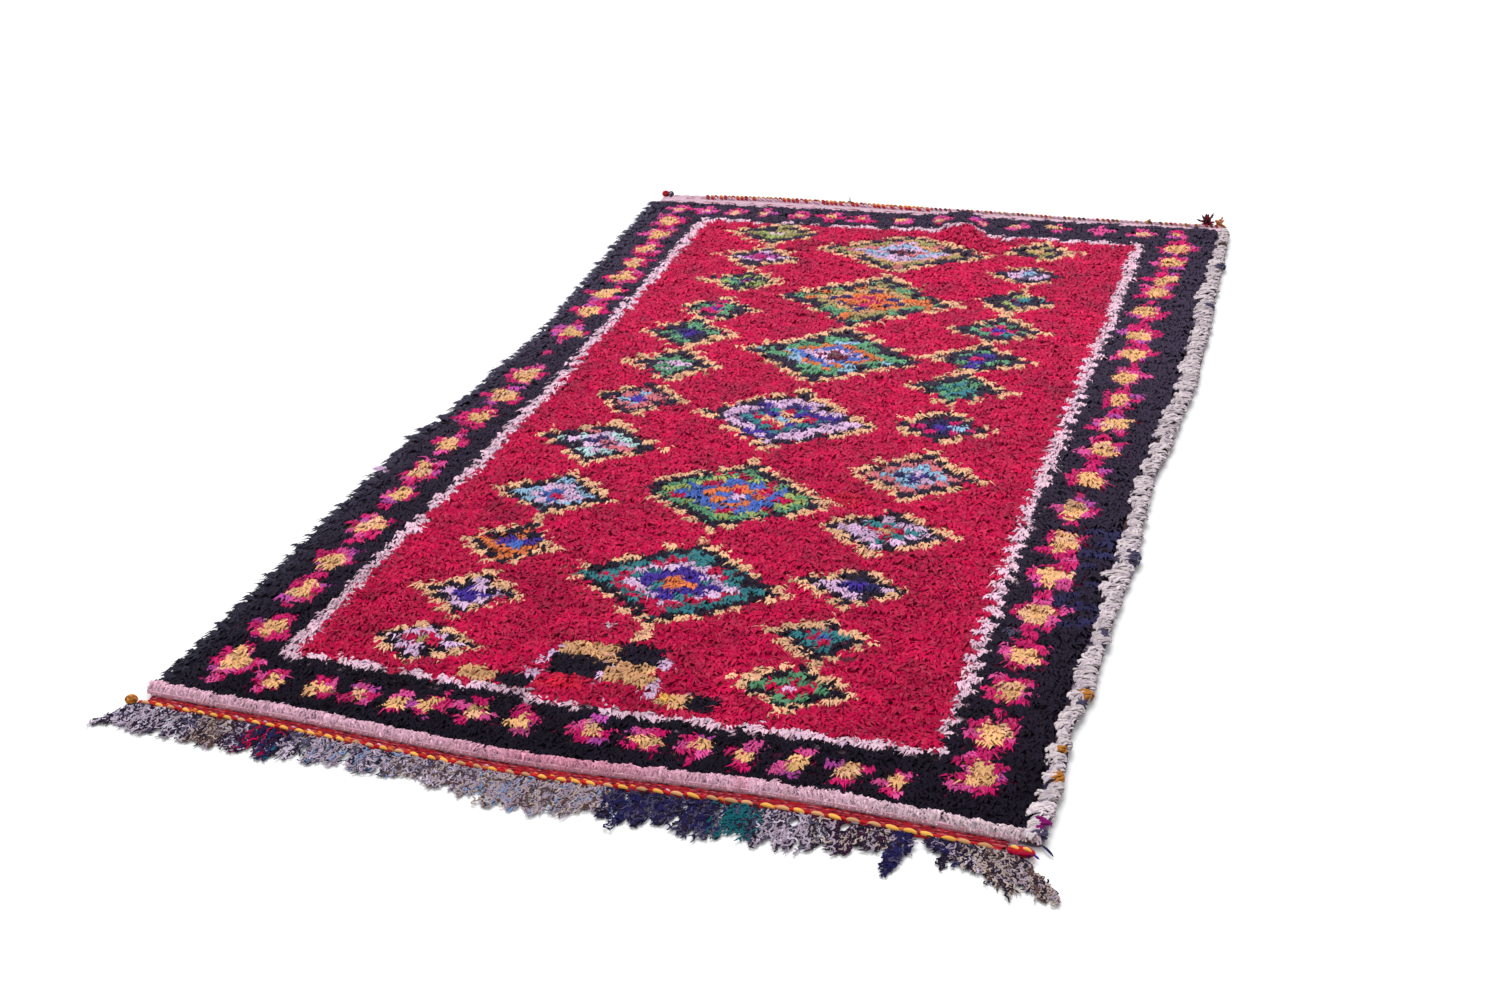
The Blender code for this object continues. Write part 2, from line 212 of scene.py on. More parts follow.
# Bundles of fringe yarns that hang together
#    x      yarns  length  lean   spread bend  light and dark dyes
TASSELS = [
    (0.553, 26, 0.092, -0.004, 0.001, 2.2, "slate,navy,navy", "navy,soot"),
    (0.150, 4, 0.100, -0.002, 0.001, 1.7, "slate,navy", "navy"),
    (0.622, 3, 0.062, 0.002, 0.001, 1.7, "soot", "soot"),
    (0.268, 4, 0.092, 0.004, 0.001, 1.7, "slate", "navy"),
    (0.660, 20, 0.050, 0.010, 0.008, 1.4, "chalk,sand", "soot"),
    (0.684, 50, 0.068, 0.040, 0.013, 1.2, "sand,sand,mauve", "soot,umber"),
    (0.696, 44, 0.084, 0.090, 0.006, 0.9, "sand,sand,mauve", "umber,soot"),
    (-0.742, 14, 0.066, -0.038, 0.008, 1.3, "chalk", "slate,soot"),
    (-0.733, 36, 0.056, -0.010, 0.012, 1.3, "chalk,chalk,mauve", "soot,slate"),
]

# Holes in the fringe
#      x       y     half x  half y
FRINGE_HOLES = [
    (0.472, -1.160, 0.010, 0.013),
    (0.397, -1.167, 0.010, 0.012),
    (0.305, -1.206, 0.008, 0.007),
]

# Dyes, as they look in daylight, in 0 to 255
DYES = {
    "crimson": (182, 4, 64), "scarlet": (190, 12, 52), "black": (26, 21, 33),
    "pink line": (224, 186, 206), "pink stripe": (222, 174, 194), "cream": (226, 174, 136),
    "star yellow": (226, 172, 118), "magenta": (192, 16, 96), "orchid": (208, 70, 140),
    "violet": (172, 66, 150), "teal": (46, 114, 122), "green": (84, 138, 102), "olive": (144, 134, 84),
    "lime": (148, 160, 92), "blue": (66, 98, 178), "navy": (34, 32, 80), "navy black": (32, 32, 66),
    "purple": (62, 40, 140), "sky": (136, 172, 202), "aqua": (170, 204, 204), "orange": (214, 112, 62),
    "yellow": (240, 178, 84), "salmon": (198, 104, 114), "lilac": (208, 170, 206), "maroon": (96, 32, 46),
    "tan": (204, 152, 108), "slate": (74, 68, 94), "chalk": (188, 174, 194), "soot": (38, 30, 46),
    "umber": (88, 64, 60), "sand": (172, 154, 148), "mauve": (158, 140, 158), "aubergine": (58, 26, 52),
    "petrol": (24, 92, 104), "dust blue": (114, 142, 186), "brick": (164, 44, 58), "red": (190, 34, 44),
    "amber": (232, 142, 58), "selvage white": (216, 202, 206), "selvage lilac": (190, 174, 186),
    "ochre": (176, 112, 46), "plum": (124, 20, 100),
}
DYE_NAMES = list(DYES)

# Lozenges: middle and half size of the black outline, its steps of knots, the rings inside it from the
# outside in, and the dye of stray knots
#    x       y     half x half y  steps rings                                           stray
LOZENGES = [
    (0.012, 0.848, 0.197, 0.106, 7, "olive,tan,lilac,sky,lilac,black,maroon", "salmon"),
    (0.013, 0.566, 0.195, 0.134, 7, "green,olive,tan,navy,orange,magenta,lilac", "orange"),
    (0.008, 0.276, 0.195, 0.124, 7, "green,green,orange,blue,lilac,maroon,umber", "sky"),
    (0.004, -0.026, 0.176, 0.120, 7, "lilac,lilac,navy,teal,crimson,cream,sky", "purple"),
    (0.000, -0.334, 0.193, 0.118, 7, "green,lime,blue,blue,orange,blue,lilac", "crimson"),
    (0.000, -0.638, 0.193, 0.130, 7, "teal,crimson,lilac,purple,purple,orange,orange", "teal"),
    (-0.334, 0.919, 0.100, 0.066, 3, "olive,lime,pink line", "olive"),
    (-0.326, 0.771, 0.092, 0.055, 3, "lilac,violet,magenta", "violet"),
    (-0.318, 0.624, 0.084, 0.060, 3, "lime,navy,magenta", "green"),
    (-0.321, 0.460, 0.087, 0.060, 3, "green,magenta,purple", "magenta"),
    (-0.337, 0.332, 0.087, 0.068, 3, "green,navy,purple", "crimson"),
    (-0.313, 0.171, 0.090, 0.066, 3, "green,lilac,lilac", "green"),
    (-0.326, 0.006, 0.082, 0.066, 3, "salmon,sky,purple", "salmon"),
    (-0.332, -0.188, 0.118, 0.078, 4, "aqua,lilac,navy,navy", "salmon"),
    (-0.337, -0.400, 0.113, 0.070, 4, "sky,lilac,blue,crimson", "lilac"),
    (-0.337, -0.581, 0.078, 0.071, 3, "orange,orange,blue", "purple"),
    (-0.340, -0.744, 0.086, 0.060, 3, "lilac,purple,purple", "lilac"),
    (-0.347, -0.898, 0.088, 0.052, 3, "lilac,crimson,olive", "lilac"),
    (0.342, 0.900, 0.086, 0.050, 3, "olive,tan,salmon", "pink line"),
    (0.342, 0.760, 0.082, 0.052, 3, "lilac,slate,sky", "lilac"),
    (0.345, 0.610, 0.088, 0.055, 3, "lime,navy,magenta", "teal"),
    (0.330, 0.458, 0.090, 0.060, 3, "green,magenta,purple", "teal"),
    (0.329, 0.310, 0.094, 0.058, 3, "green,navy,magenta", "purple"),
    (0.321, 0.171, 0.092, 0.066, 3, "green,teal,blue", "green"),
    (0.321, 0.005, 0.090, 0.065, 3, "magenta,navy,purple", "sky"),
    (0.328, -0.198, 0.115, 0.083, 4, "salmon,sky,navy,purple", "lilac"),
    (0.326, -0.400, 0.112, 0.070, 4, "lilac,teal,crimson,tan", "lilac"),
    (0.316, -0.584, 0.088, 0.054, 3, "lilac,navy,purple", "yellow"),
    (0.308, -0.744, 0.080, 0.052, 3, "teal,crimson,blue", "teal"),
    (0.303, -0.880, 0.090, 0.058, 3, "green,crimson,lilac", "teal"),
]

# Stepped blocks near the fringed end: from x, to x, from y, to y and dye
BLOCKS = [
    (-0.108, -0.014, -0.876, -0.843, "tan"), (-0.112, -0.014, -0.930, -0.876, "black"),
    (-0.002, 0.078, -0.883, -0.827, "black"), (-0.010, 0.076, -0.934, -0.883, "tan"),
    (-0.121, -0.108, -0.890, -0.843, "lilac"), (-0.134, -0.120, -0.960, -0.885, "lilac"),
    (-0.015, -0.002, -0.934, -0.862, "lilac"), (0.076, 0.091, -0.890, -0.850, "lilac"),
    (0.072, 0.086, -0.960, -0.910, "lilac"), (-0.249, -0.189, -0.978, -0.948, "tan"),
    (-0.187, -0.121, -0.976, -0.946, "black"), (0.091, 0.146, -0.970, -0.938, "tan"),
    (0.106, 0.128, -0.964, -0.946, "yellow"), (0.146, 0.154, -0.972, -0.934, "lilac"),
    (0.154, 0.204, -0.968, -0.930, "black"), (-0.004, 0.018, -0.827, -0.778, "cream"),
    (-0.070, -0.046, -0.806, -0.788, "pink line"),
]

# Stray knots: x, y and dye
STRAY_KNOTS = [
    (-0.648, -1.080, "orchid"), (0.510, -1.086, "magenta"), (0.360, -0.790, "maroon"),
    (-0.725, -0.380, "lilac"), (0.600, -0.650, "slate"), (0.690, -0.560, "navy"),
]
STRAY_KNOT_RADIUS = 0.011

# Inner line that parts the field from the border. Its sides: y, left x and right x at each station
SIDE_LINES = [
    (-1.010, -0.572, 0.570), (-0.900, -0.560, 0.564), (0.000, -0.540, 0.556), (1.010, -0.548, 0.566),
]
# Its ends: x, near y and far y at each station
END_LINES = [
    (-0.600, -0.984, 0.990), (-0.200, -0.996, 0.990), (0.020, -1.005, 0.992), (0.120, -1.002, 1.004),
    (0.220, -0.998, 0.974), (0.600, -0.984, 0.972),
]
SIDE_LINE_HALF, END_LINE_HALF = 0.0115, 0.0068
# Its zigzag at the sides, and how the right line narrows towards the near corner
ZIGZAG_DEPTH, ZIGZAG_PITCH = 0.0045, 0.036
NARROWED_BY, NARROWS_FROM, NARROWS_OVER = 0.0045, -0.80, 0.08

# Stars of the border
LEFT_STARS_Y = (
    0.965, 0.877, 0.780, 0.690, 0.607, 0.500, 0.410, 0.285, 0.065, -0.035,
    -0.140, -0.255, -0.370, -0.465, -0.580, -0.695, -0.810, -0.920, -1.025,
)
RIGHT_STARS_Y = (
    0.968, 0.880, 0.785, 0.710, 0.600, 0.490, 0.395, 0.290, 0.180, 0.080,
    -0.030, -0.140, -0.255, -0.375, -0.480, -0.595, -0.710, -0.810, -0.920, -1.024,
)
NEAR_STARS_X = (
    -0.550, -0.455, -0.380, -0.310, -0.250, -0.175, -0.090, 0.030, 0.120, 0.200, 0.285, 0.365, 0.445, 0.520,
)
FAR_STARS_X = (
    -0.645, -0.570, -0.489, -0.406, -0.314, -0.231, -0.145, -0.039,
    0.062, 0.156, 0.248, 0.351, 0.457, 0.558, 0.642,
)
# The side columns of stars: y, left x and right x at each station
STAR_COLUMNS = [
    (-1.020, -0.640, 0.633), (-0.250, -0.640, 0.636), (0.100, -0.619, 0.643), (0.600, -0.617, 0.635),
    (0.970, -0.640, 0.652),
]
NEAR_STARS_Y, FAR_STARS_Y = -1.060, 1.048
# Half width, half height, and shares of the yellow middle, of magenta in the rim and of cream in the middle
STAR_SIZES = {
    "side": (0.046, 0.050, 0.56, 0.56, 0.18),
    "near": (0.034, 0.037, 0.47, 0.56, 0.18),
    "far": (0.034, 0.030, 0.34, 0.30, 0.70),
}
VIOLET_FROM, STAR_REACH = 0.86, 0.07

# Waves round a star's rim, and their depth
STAR_WAVES = ((3, 0.10), (4, 0.14), (5, 0.10), (8, 0.09))

# Links between the stars of a side
LINK_HALF_X, LINK_HALF_Y, LINK_SHARE = 0.010, 0.012, 0.75

# Knots of a lozenge that stray from their rings: shares of stray dyes and of gaps in the cream outline
STRAY_SHARE, GAP_SHARE = 0.13, 0.15
# Shares of a second black row in the far and the near lozenges, and the y at which the far ones begin
FAR_BLACK_SHARE, NEAR_BLACK_SHARE, FAR_BLACK_FROM = 0.30, 0.10, 0.10

# Patches knotted from another lot: middle, reach, the share of their knots, the dye and its other lot
FIELD_PATCHES = [
    (-0.09, -0.953, 0.06, 0.022, 0.85, "crimson", "scarlet"),
    (0.22, -0.31, 0.04, 0.03, 0.85, "crimson", "scarlet"),
]
BORDER_PATCHES = [(0.69, -0.46, 0.05, 0.17, 0.45, "black", "navy black")]


def smooth(t):
    """A smooth step from 0 to 1."""
    t = np.clip(t, 0.0, 1.0)
    return t * t * (3.0 - 2.0 * t)


def read(table, at, column):
    """A table's column at a station or an array of stations, smoothly between its rows."""
    at = np.asarray(at, dtype=float)
    stations = np.array([row[0] for row in table])
    values = np.array([row[column] for row in table])
    low = np.clip(np.searchsorted(stations, at) - 1, 0, len(table) - 2)
    share = smooth((at - stations[low]) / (stations[low + 1] - stations[low]))
    return values[low] + share * (values[low + 1] - values[low])


def ripple(x, y):
    """How far the ripple lifts the rug off the floor."""
    crest_x = RIPPLE_X + RIPPLE_SLANT * (y - RIPPLE_Y)
    across = ((x - crest_x) / RIPPLE_HALF_WIDTH) ** 2
    near_side = ((y - RIPPLE_Y) / RIPPLE_NEAR_REACH) ** 2
    far_side = ((y - RIPPLE_Y) / RIPPLE_FAR_REACH) ** 4
    along = np.where(y < RIPPLE_Y, near_side, far_side)
    return RIPPLE_HEIGHT * np.maximum(0.0, np.exp(-across - along) - RIPPLE_FLOOR)


def near_edge(x):
    """Y of the pile's near edge."""
    return NEAR_EDGE_Y + read(NEAR_EDGE_SHIFT, x, 1)


def braid_near_y(x):
    """Y of the near braid's middle line."""
    return near_edge(x) - 3.0 * GAP - BAND_NEAR_DEPTH - BRAID_DIAMETER / 2.0


def braid_far_y(x):
    """Y of the far braid's middle line."""
    return FAR_EDGE_Y + 2.0 * GAP + read(FAR_BAND_DEPTH, x, 1) + BRAID_DIAMETER / 2.0


def cloudy(x, y, name, in_field=True):
    """Smooth unevenness over the rug, as that cloud has it in the field and outside it."""
    pitch, seed, field_depth, depth = CLOUDS[name]
    return np.where(in_field, field_depth, depth) * (
        np.array([noise.noise((a / pitch, b / pitch, seed)) for a, b in zip(x, y)]) * 1.6
    )


def spread(width, shape):
    """Random numbers round 0, spread by that width."""
    return rng.normal(0.0, width, shape)


def chance(shape):
    """Random numbers from 0 to 1."""
    return rng.uniform(0.0, 1.0, shape)


def linear(name):
    """A dye's colour in linear light."""
    c = np.array(DYES[name]) / 255.0
    return np.where(c <= 0.04045, c / 12.92, ((c + 0.055) / 1.055) ** 2.4)


PALETTE = np.array([linear(name) for name in DYE_NAMES])


def dye(name):
    """A dye's row in the palette."""
    return DYE_NAMES.index(name)


# The knots


def from_grid(column, row):
    """X and Y of a point of the knot grid."""
    y = NEAR_EDGE_Y + (row + 0.5) / KNOT_ROWS * (FAR_EDGE_Y - NEAR_EDGE_Y)
    left, right = read(OUTLINE, y, 1), read(OUTLINE, y, 2)
    x = left + (column + 0.5) / KNOT_COLUMNS * (right - left)
    near = near_edge(x)
    return x, near + (row + 0.5) / KNOT_ROWS * (FAR_EDGE_Y - near)


def star_mask(x, y, middle_x, middle_y, size, number):
    """0 outside a ragged star, 1 on its rim and 2 in its middle. The number sets its outline."""
    half_width, half_height, yellow = STAR_SIZES[size][:3]
    draws = np.random.default_rng(100 + number)
    half_width = half_width * draws.uniform(0.86, 1.08)
    half_height = half_height * draws.uniform(0.88, 1.08)
    across, along = (x - middle_x) / half_width, (y - middle_y) / half_height
    angle = np.arctan2(along, across)
    rim = 0.84 + sum(
        depth * draws.uniform(0.5, 1.2) * np.cos(waves * angle + draws.uniform(0.0, 6.3))
        for waves, depth in STAR_WAVES
    )
    core = yellow * (1.0 + 0.14 * np.cos(3.0 * angle + draws.uniform(0.0, 6.3)))
    core_x, core_y = draws.normal(0.0, 0.08, 2)
    inner = np.hypot(across - core_x, along - core_y) < core
    return (np.hypot(across, along) < rim).astype(int) + inner


def paint_stars(x, y, dyes, draw):
    """Paints the border's stars over the dyes."""
    stars = [(read(STAR_COLUMNS, at, 1), at, "side") for at in LEFT_STARS_Y]
    stars += [(read(STAR_COLUMNS, at, 2), at, "side") for at in RIGHT_STARS_Y]
    stars += [(at, NEAR_STARS_Y, "near") for at in NEAR_STARS_X]
    stars += [(at, FAR_STARS_Y + 0.5 * float(ripple(at, FAR_STARS_Y)), "far") for at in FAR_STARS_X]
    for number, (middle_x, middle_y, size) in enumerate(stars):
        place = np.flatnonzero((abs(x - middle_x) < STAR_REACH) & (abs(y - middle_y) < STAR_REACH))
        mask = star_mask(x[place], y[place], middle_x, middle_y, size, number)
        magenta, cream = STAR_SIZES[size][3:]
        rim = np.where(draw[place] < magenta, dye("magenta"), dye("orchid"))
        rim = np.where(draw[place] > VIOLET_FROM, dye("violet"), rim)
        middle = np.where(draw[place] < cream, dye("cream"), dye("star yellow"))
        dyes[place] = np.where(mask == 0, dyes[place], np.where(mask == 1, rim, middle))
    for side, column in ((LEFT_STARS_Y, 1), (RIGHT_STARS_Y, 2)):
        for above, below in zip(side, side[1:]):
            link_y = (above + below) / 2.0
            link_x = float(read(STAR_COLUMNS, link_y, column))
            link = (abs(x - link_x) < LINK_HALF_X) & (abs(y - link_y) < LINK_HALF_Y) & (draw < LINK_SHARE)
            dyes[link] = dye("magenta")


def paint_lozenges(x, y, dyes, draw):
    """Paints the lozenges over the dyes, ring by ring."""
    for middle_x, middle_y, half_x, half_y, reach, rings, stray in LOZENGES:
        across = abs(x - middle_x) / half_x * (reach + 0.5)
        along = abs(y - middle_y) / half_y * (reach + 0.5)
        steps = (np.rint(across) + np.rint(along)).astype(int)
        ring_dyes = [dye(name) for name in rings.split(",")][::-1]
        scale = np.array(ring_dyes + [dye("black"), dye("cream")])
        painted = scale[np.minimum(steps, reach + 1)]
        painted = np.where((steps < reach) & (draw < STRAY_SHARE), dye(stray), painted)
        second_black = FAR_BLACK_SHARE if middle_y > FAR_BLACK_FROM else NEAR_BLACK_SHARE
        painted = np.where((steps == reach - 1) & (draw > 1.0 - second_black), dye("black"), painted)
        painted = np.where((steps == reach + 1) & (draw < GAP_SHARE), dyes, painted)
        inside = steps <= reach + 1
        dyes[inside] = painted[inside]


def paint_patches(x, y, dyes, draw, patches):
    """Paints the patches that were knotted from another lot."""
    for middle_x, middle_y, half_x, half_y, share, first, second in patches:
        inside = np.hypot((x - middle_x) / half_x, (y - middle_y) / half_y) < 1.0
        dyes[inside & (dyes == dye(first)) & (draw < share)] = dye(second)


def paint_border(x, y, dyes, draw):
    """Paints the black border and its inner line over the dyes."""
    zigzag = ZIGZAG_DEPTH * (abs((y / ZIGZAG_PITCH) % 1.0 - 0.5) * 4.0 - 1.0)
    waves = 0.003 * np.sin(x * 95.0) + 0.002 * np.sin(x * 41.0 + 1.0)
    left = read(SIDE_LINES, y, 1) + zigzag
    right = read(SIDE_LINES, y, 2) + zigzag
    near = read(END_LINES, x, 1) + waves
    far = read(END_LINES, x, 2) + waves
    dyes[(x < left) | (x > right) | (y < near) | (y > far)] = dye("black")
    beside_ends = (y > near - END_LINE_HALF) & (y < far + END_LINE_HALF)
    right_half = SIDE_LINE_HALF - NARROWED_BY * smooth((NARROWS_FROM - y) / NARROWS_OVER)
    beside_sides = (x > left - SIDE_LINE_HALF) & (x < right + right_half)
    on_side = (abs(x - left) < SIDE_LINE_HALF) | (abs(x - right) < right_half)
    on_end = np.minimum(abs(y - near), abs(y - far)) < END_LINE_HALF
    dyes[(on_side & beside_ends) | (on_end & beside_sides)] = dye("pink line")
    paint_patches(x, y, dyes, draw, BORDER_PATCHES)


def paint(x, y, draw):
    """The dye of each point of the pile. The draw is one random number for each knot."""
    dyes = np.full(len(x), dye("crimson"))
    paint_patches(x, y, dyes, draw, FIELD_PATCHES)
    for from_x, to_x, from_y, to_y, name in BLOCKS:
        dyes[(x > from_x) & (x < to_x) & (y > from_y) & (y < to_y)] = dye(name)
    paint_lozenges(x, y, dyes, draw)
    paint_border(x, y, dyes, draw)
    paint_stars(x, y, dyes, draw)
    for knot_x, knot_y, name in STRAY_KNOTS:
        dyes[np.hypot(x - knot_x, y - knot_y) < STRAY_KNOT_RADIUS] = dye(name)
    dyes[y < near_edge(x) + read(STRIPE_DEPTH, x, 1) - STRIPE_COVER] = dye("pink stripe")
    return dyes


# Meshes


def joined(name, verts, faces, colours, cells=None, smoothed=True):
    """An object from arrays, with a colour and, where cells is given, a map place for each vertex."""
    mesh = bpy.data.meshes.new(name)
    mesh.from_pydata(verts.tolist(), [], faces)
    dyed = mesh.color_attributes.new("dye", "FLOAT_COLOR", "POINT")
    colours = np.hstack([colours, np.ones((len(colours), 1))])
    dyed.data.foreach_set("color", colours.astype(np.float32).ravel())
    if cells is not None:
        loops = np.empty(len(mesh.loops), dtype=np.int32)
        mesh.loops.foreach_get("vertex_index", loops)
        layer = mesh.uv_layers.new(name="OFBake")
        layer.data.foreach_set("uv", cells[loops].astype(np.float32).ravel())
    if smoothed:
        mesh.shade_smooth()
    made = bpy.data.objects.new(name, mesh)
    bpy.context.scene.collection.objects.link(made)
    return made


def lock_faces(count):
    """Faces of that many locks: a quad and a tip each."""
    first = LOCK_VERTS * np.arange(count)[:, None]
    return (first + np.array([0, 1, 3, 2])).tolist() + (first + np.array([2, 3, 4])).tolist()


def lock_cells(count):
    """Map places of that many locks, one cell for each."""
    side = math.ceil(math.sqrt(count))
    index = np.arange(count)
    corner = np.stack([index % side, index // side], axis=1)[:, None, :]
    across = np.array([0.1, 0.9, 0.1, 0.9, 0.5])
    along = np.array([0.1, 0.1, 0.4, 0.4, 0.9])
    return ((corner + np.stack([across, along], axis=1)[None]) / side).reshape(-1, 2)


def lock_verts(root, heading, length, width, crown, droop, roll):
    """Vertices of rag locks that rise, arch over and droop, from arrays with a row for each lock."""
    ahead = np.stack([np.sin(heading), -np.cos(heading)], axis=1)
    aside = np.stack([np.cos(heading), np.sin(heading)], axis=1)
    rings = [(0.0, ROOT_HALF, root[:, 2]), (CROWN_SHARE, CROWN_HALF, crown), (1.0, 0.0, crown - droop)]
    verts = []
    for share, half, height in rings:
        middle = root[:, :2] + ahead * (length * share)[:, None]
        for side in (-1.0, 1.0) if half else (0.0,):
            place = middle + aside * (side * half * width)[:, None]
            verts.append(np.column_stack([place, height + side * half * width * roll]))
    return np.stack(verts, axis=1).reshape(-1, 3)


def swept(paths, section, closed, reference=(0.0, 0.0, 1.0)):
    """Vertices and quads of sections swept along paths. The paths are (count, points, 3). The sections are
    (count, points, corners, 2): how far each corner lies across the reference direction and along it."""
    count, points, corners = section.shape[:3]
    along = np.gradient(paths, axis=1)
    along /= np.linalg.norm(along, axis=2, keepdims=True)
    across = np.cross(along, np.array(reference))
    across /= np.maximum(np.linalg.norm(across, axis=2, keepdims=True), 1e-9)
    upward = np.cross(across, along)
    offsets = across[:, :, None] * section[..., :1] + upward[:, :, None] * section[..., 1:]
    verts = (paths[:, :, None] + offsets).reshape(-1, 3)
    sides = corners if closed else corners - 1
    step, side = np.meshgrid(np.arange(points - 1), np.arange(sides), indexing="ij")
    here = (step * corners + side).ravel()
    beside = (step * corners + (side + 1) % corners).ravel()
    quads = np.stack([here, beside, beside + corners, here + corners], axis=1)
    quads = (quads[None] + points * corners * np.arange(count)[:, None, None]).reshape(-1, 4)
    return verts, quads


def round_section(radii, sides):
    """Round sections of radii (count, points, 2)."""
    turn = np.arange(sides) * 2.0 * math.pi / sides
    return radii[:, :, None] * np.stack([np.cos(turn), np.sin(turn)], axis=1)


def by_corner(colours, points, corners):
    """A colour for each corner of swept sections, from one for each path or each of its points."""
    if colours.ndim == 2:
        colours = np.repeat(colours[:, None], points, axis=1)
    return np.repeat(colours[:, :, None], corners, axis=2)


def ribbons(paths, half, rise, colours):
    """Ribbons with a raised middle along paths, of half width and rise (count, points), with painted shade
    on their sides and a painted highlight on their middles.
    """
    flat = np.zeros_like(half)
    corners = [(-half, flat), (flat, rise), (half, flat)]
    section = np.stack([np.stack(corner, axis=-1) for corner in corners], axis=2)
    verts, quads = swept(paths, section, False)
    return verts, quads, by_corner(colours, paths.shape[1], 3) * TENT_SHADE


# Materials


def cloth(name, bump, scale):
    """Dyed cloth: the dye attribute, mottled, with fibres raised by bump metres at that scale."""
    material = bpy.data.materials.new(name)
    material.use_nodes = True
    nodes, links = material.node_tree.nodes, material.node_tree.links
    kinds = ("Attribute", "TexCoord", "TexNoise", "MapRange", "VectorMath", "Bump")
    dyed, place, fibres, mottle, tone, raised = (nodes.new("ShaderNode" + kind) for kind in kinds)
    shader = nodes["Principled BSDF"]
    dyed.attribute_name = "dye"
    tone.operation = "SCALE"
    settings = [
        (shader, "Roughness", 0.94),
        (shader, "Specular IOR Level", 0.05),
        (fibres, "Scale", scale),
        (fibres, "Detail", 5.0),
        (fibres, "Roughness", 0.65),
        (mottle, "From Min", 0.3),
        (mottle, "From Max", 0.7),
        (mottle, "To Min", 0.84),
        (mottle, "To Max", 1.14),
        (raised, "Strength", 0.7),
        (raised, "Distance", bump),
    ]
    for node, socket, value in settings:
        node.inputs[socket].default_value = value
    wires = [
        (place, "Object", fibres, "Vector"),
        (fibres, "Fac", mottle, "Value"),
        (dyed, "Color", tone, 0),
        (mottle, "Result", tone, "Scale"),
        (tone, "Vector", shader, "Base Color"),
        (fibres, "Fac", raised, "Height"),
        (raised, "Normal", shader, "Normal"),
    ]
    for source, output, target, socket in wires:
        links.new(source.outputs[output], target.inputs[socket])
    return material


def finish_piece(made, material, replaced=()):
    """Gives a piece its material and slot, and lets it ride on the rug."""
    made.data.materials.append(material)
    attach(made, "root")
    if replaced:
        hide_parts(*replaced)
    return made


# Pile


def painted_far_sheen(colours, y):
    """Colours of the pile at y with painted sheen: paler towards the far end, dark dyes the most."""
    share = np.clip((np.asarray(y) + 1.05) / 1.5, 0.0, 1.0)[..., None]
    darkness = np.clip(1.0 - colours.max(axis=-1, keepdims=True), 0.0, 1.0)
    return colours * (1.0 + FAR_SHEEN_GAIN * share * darkness) + np.array(FAR_SHEEN_TINT) * share * darkness ** 2


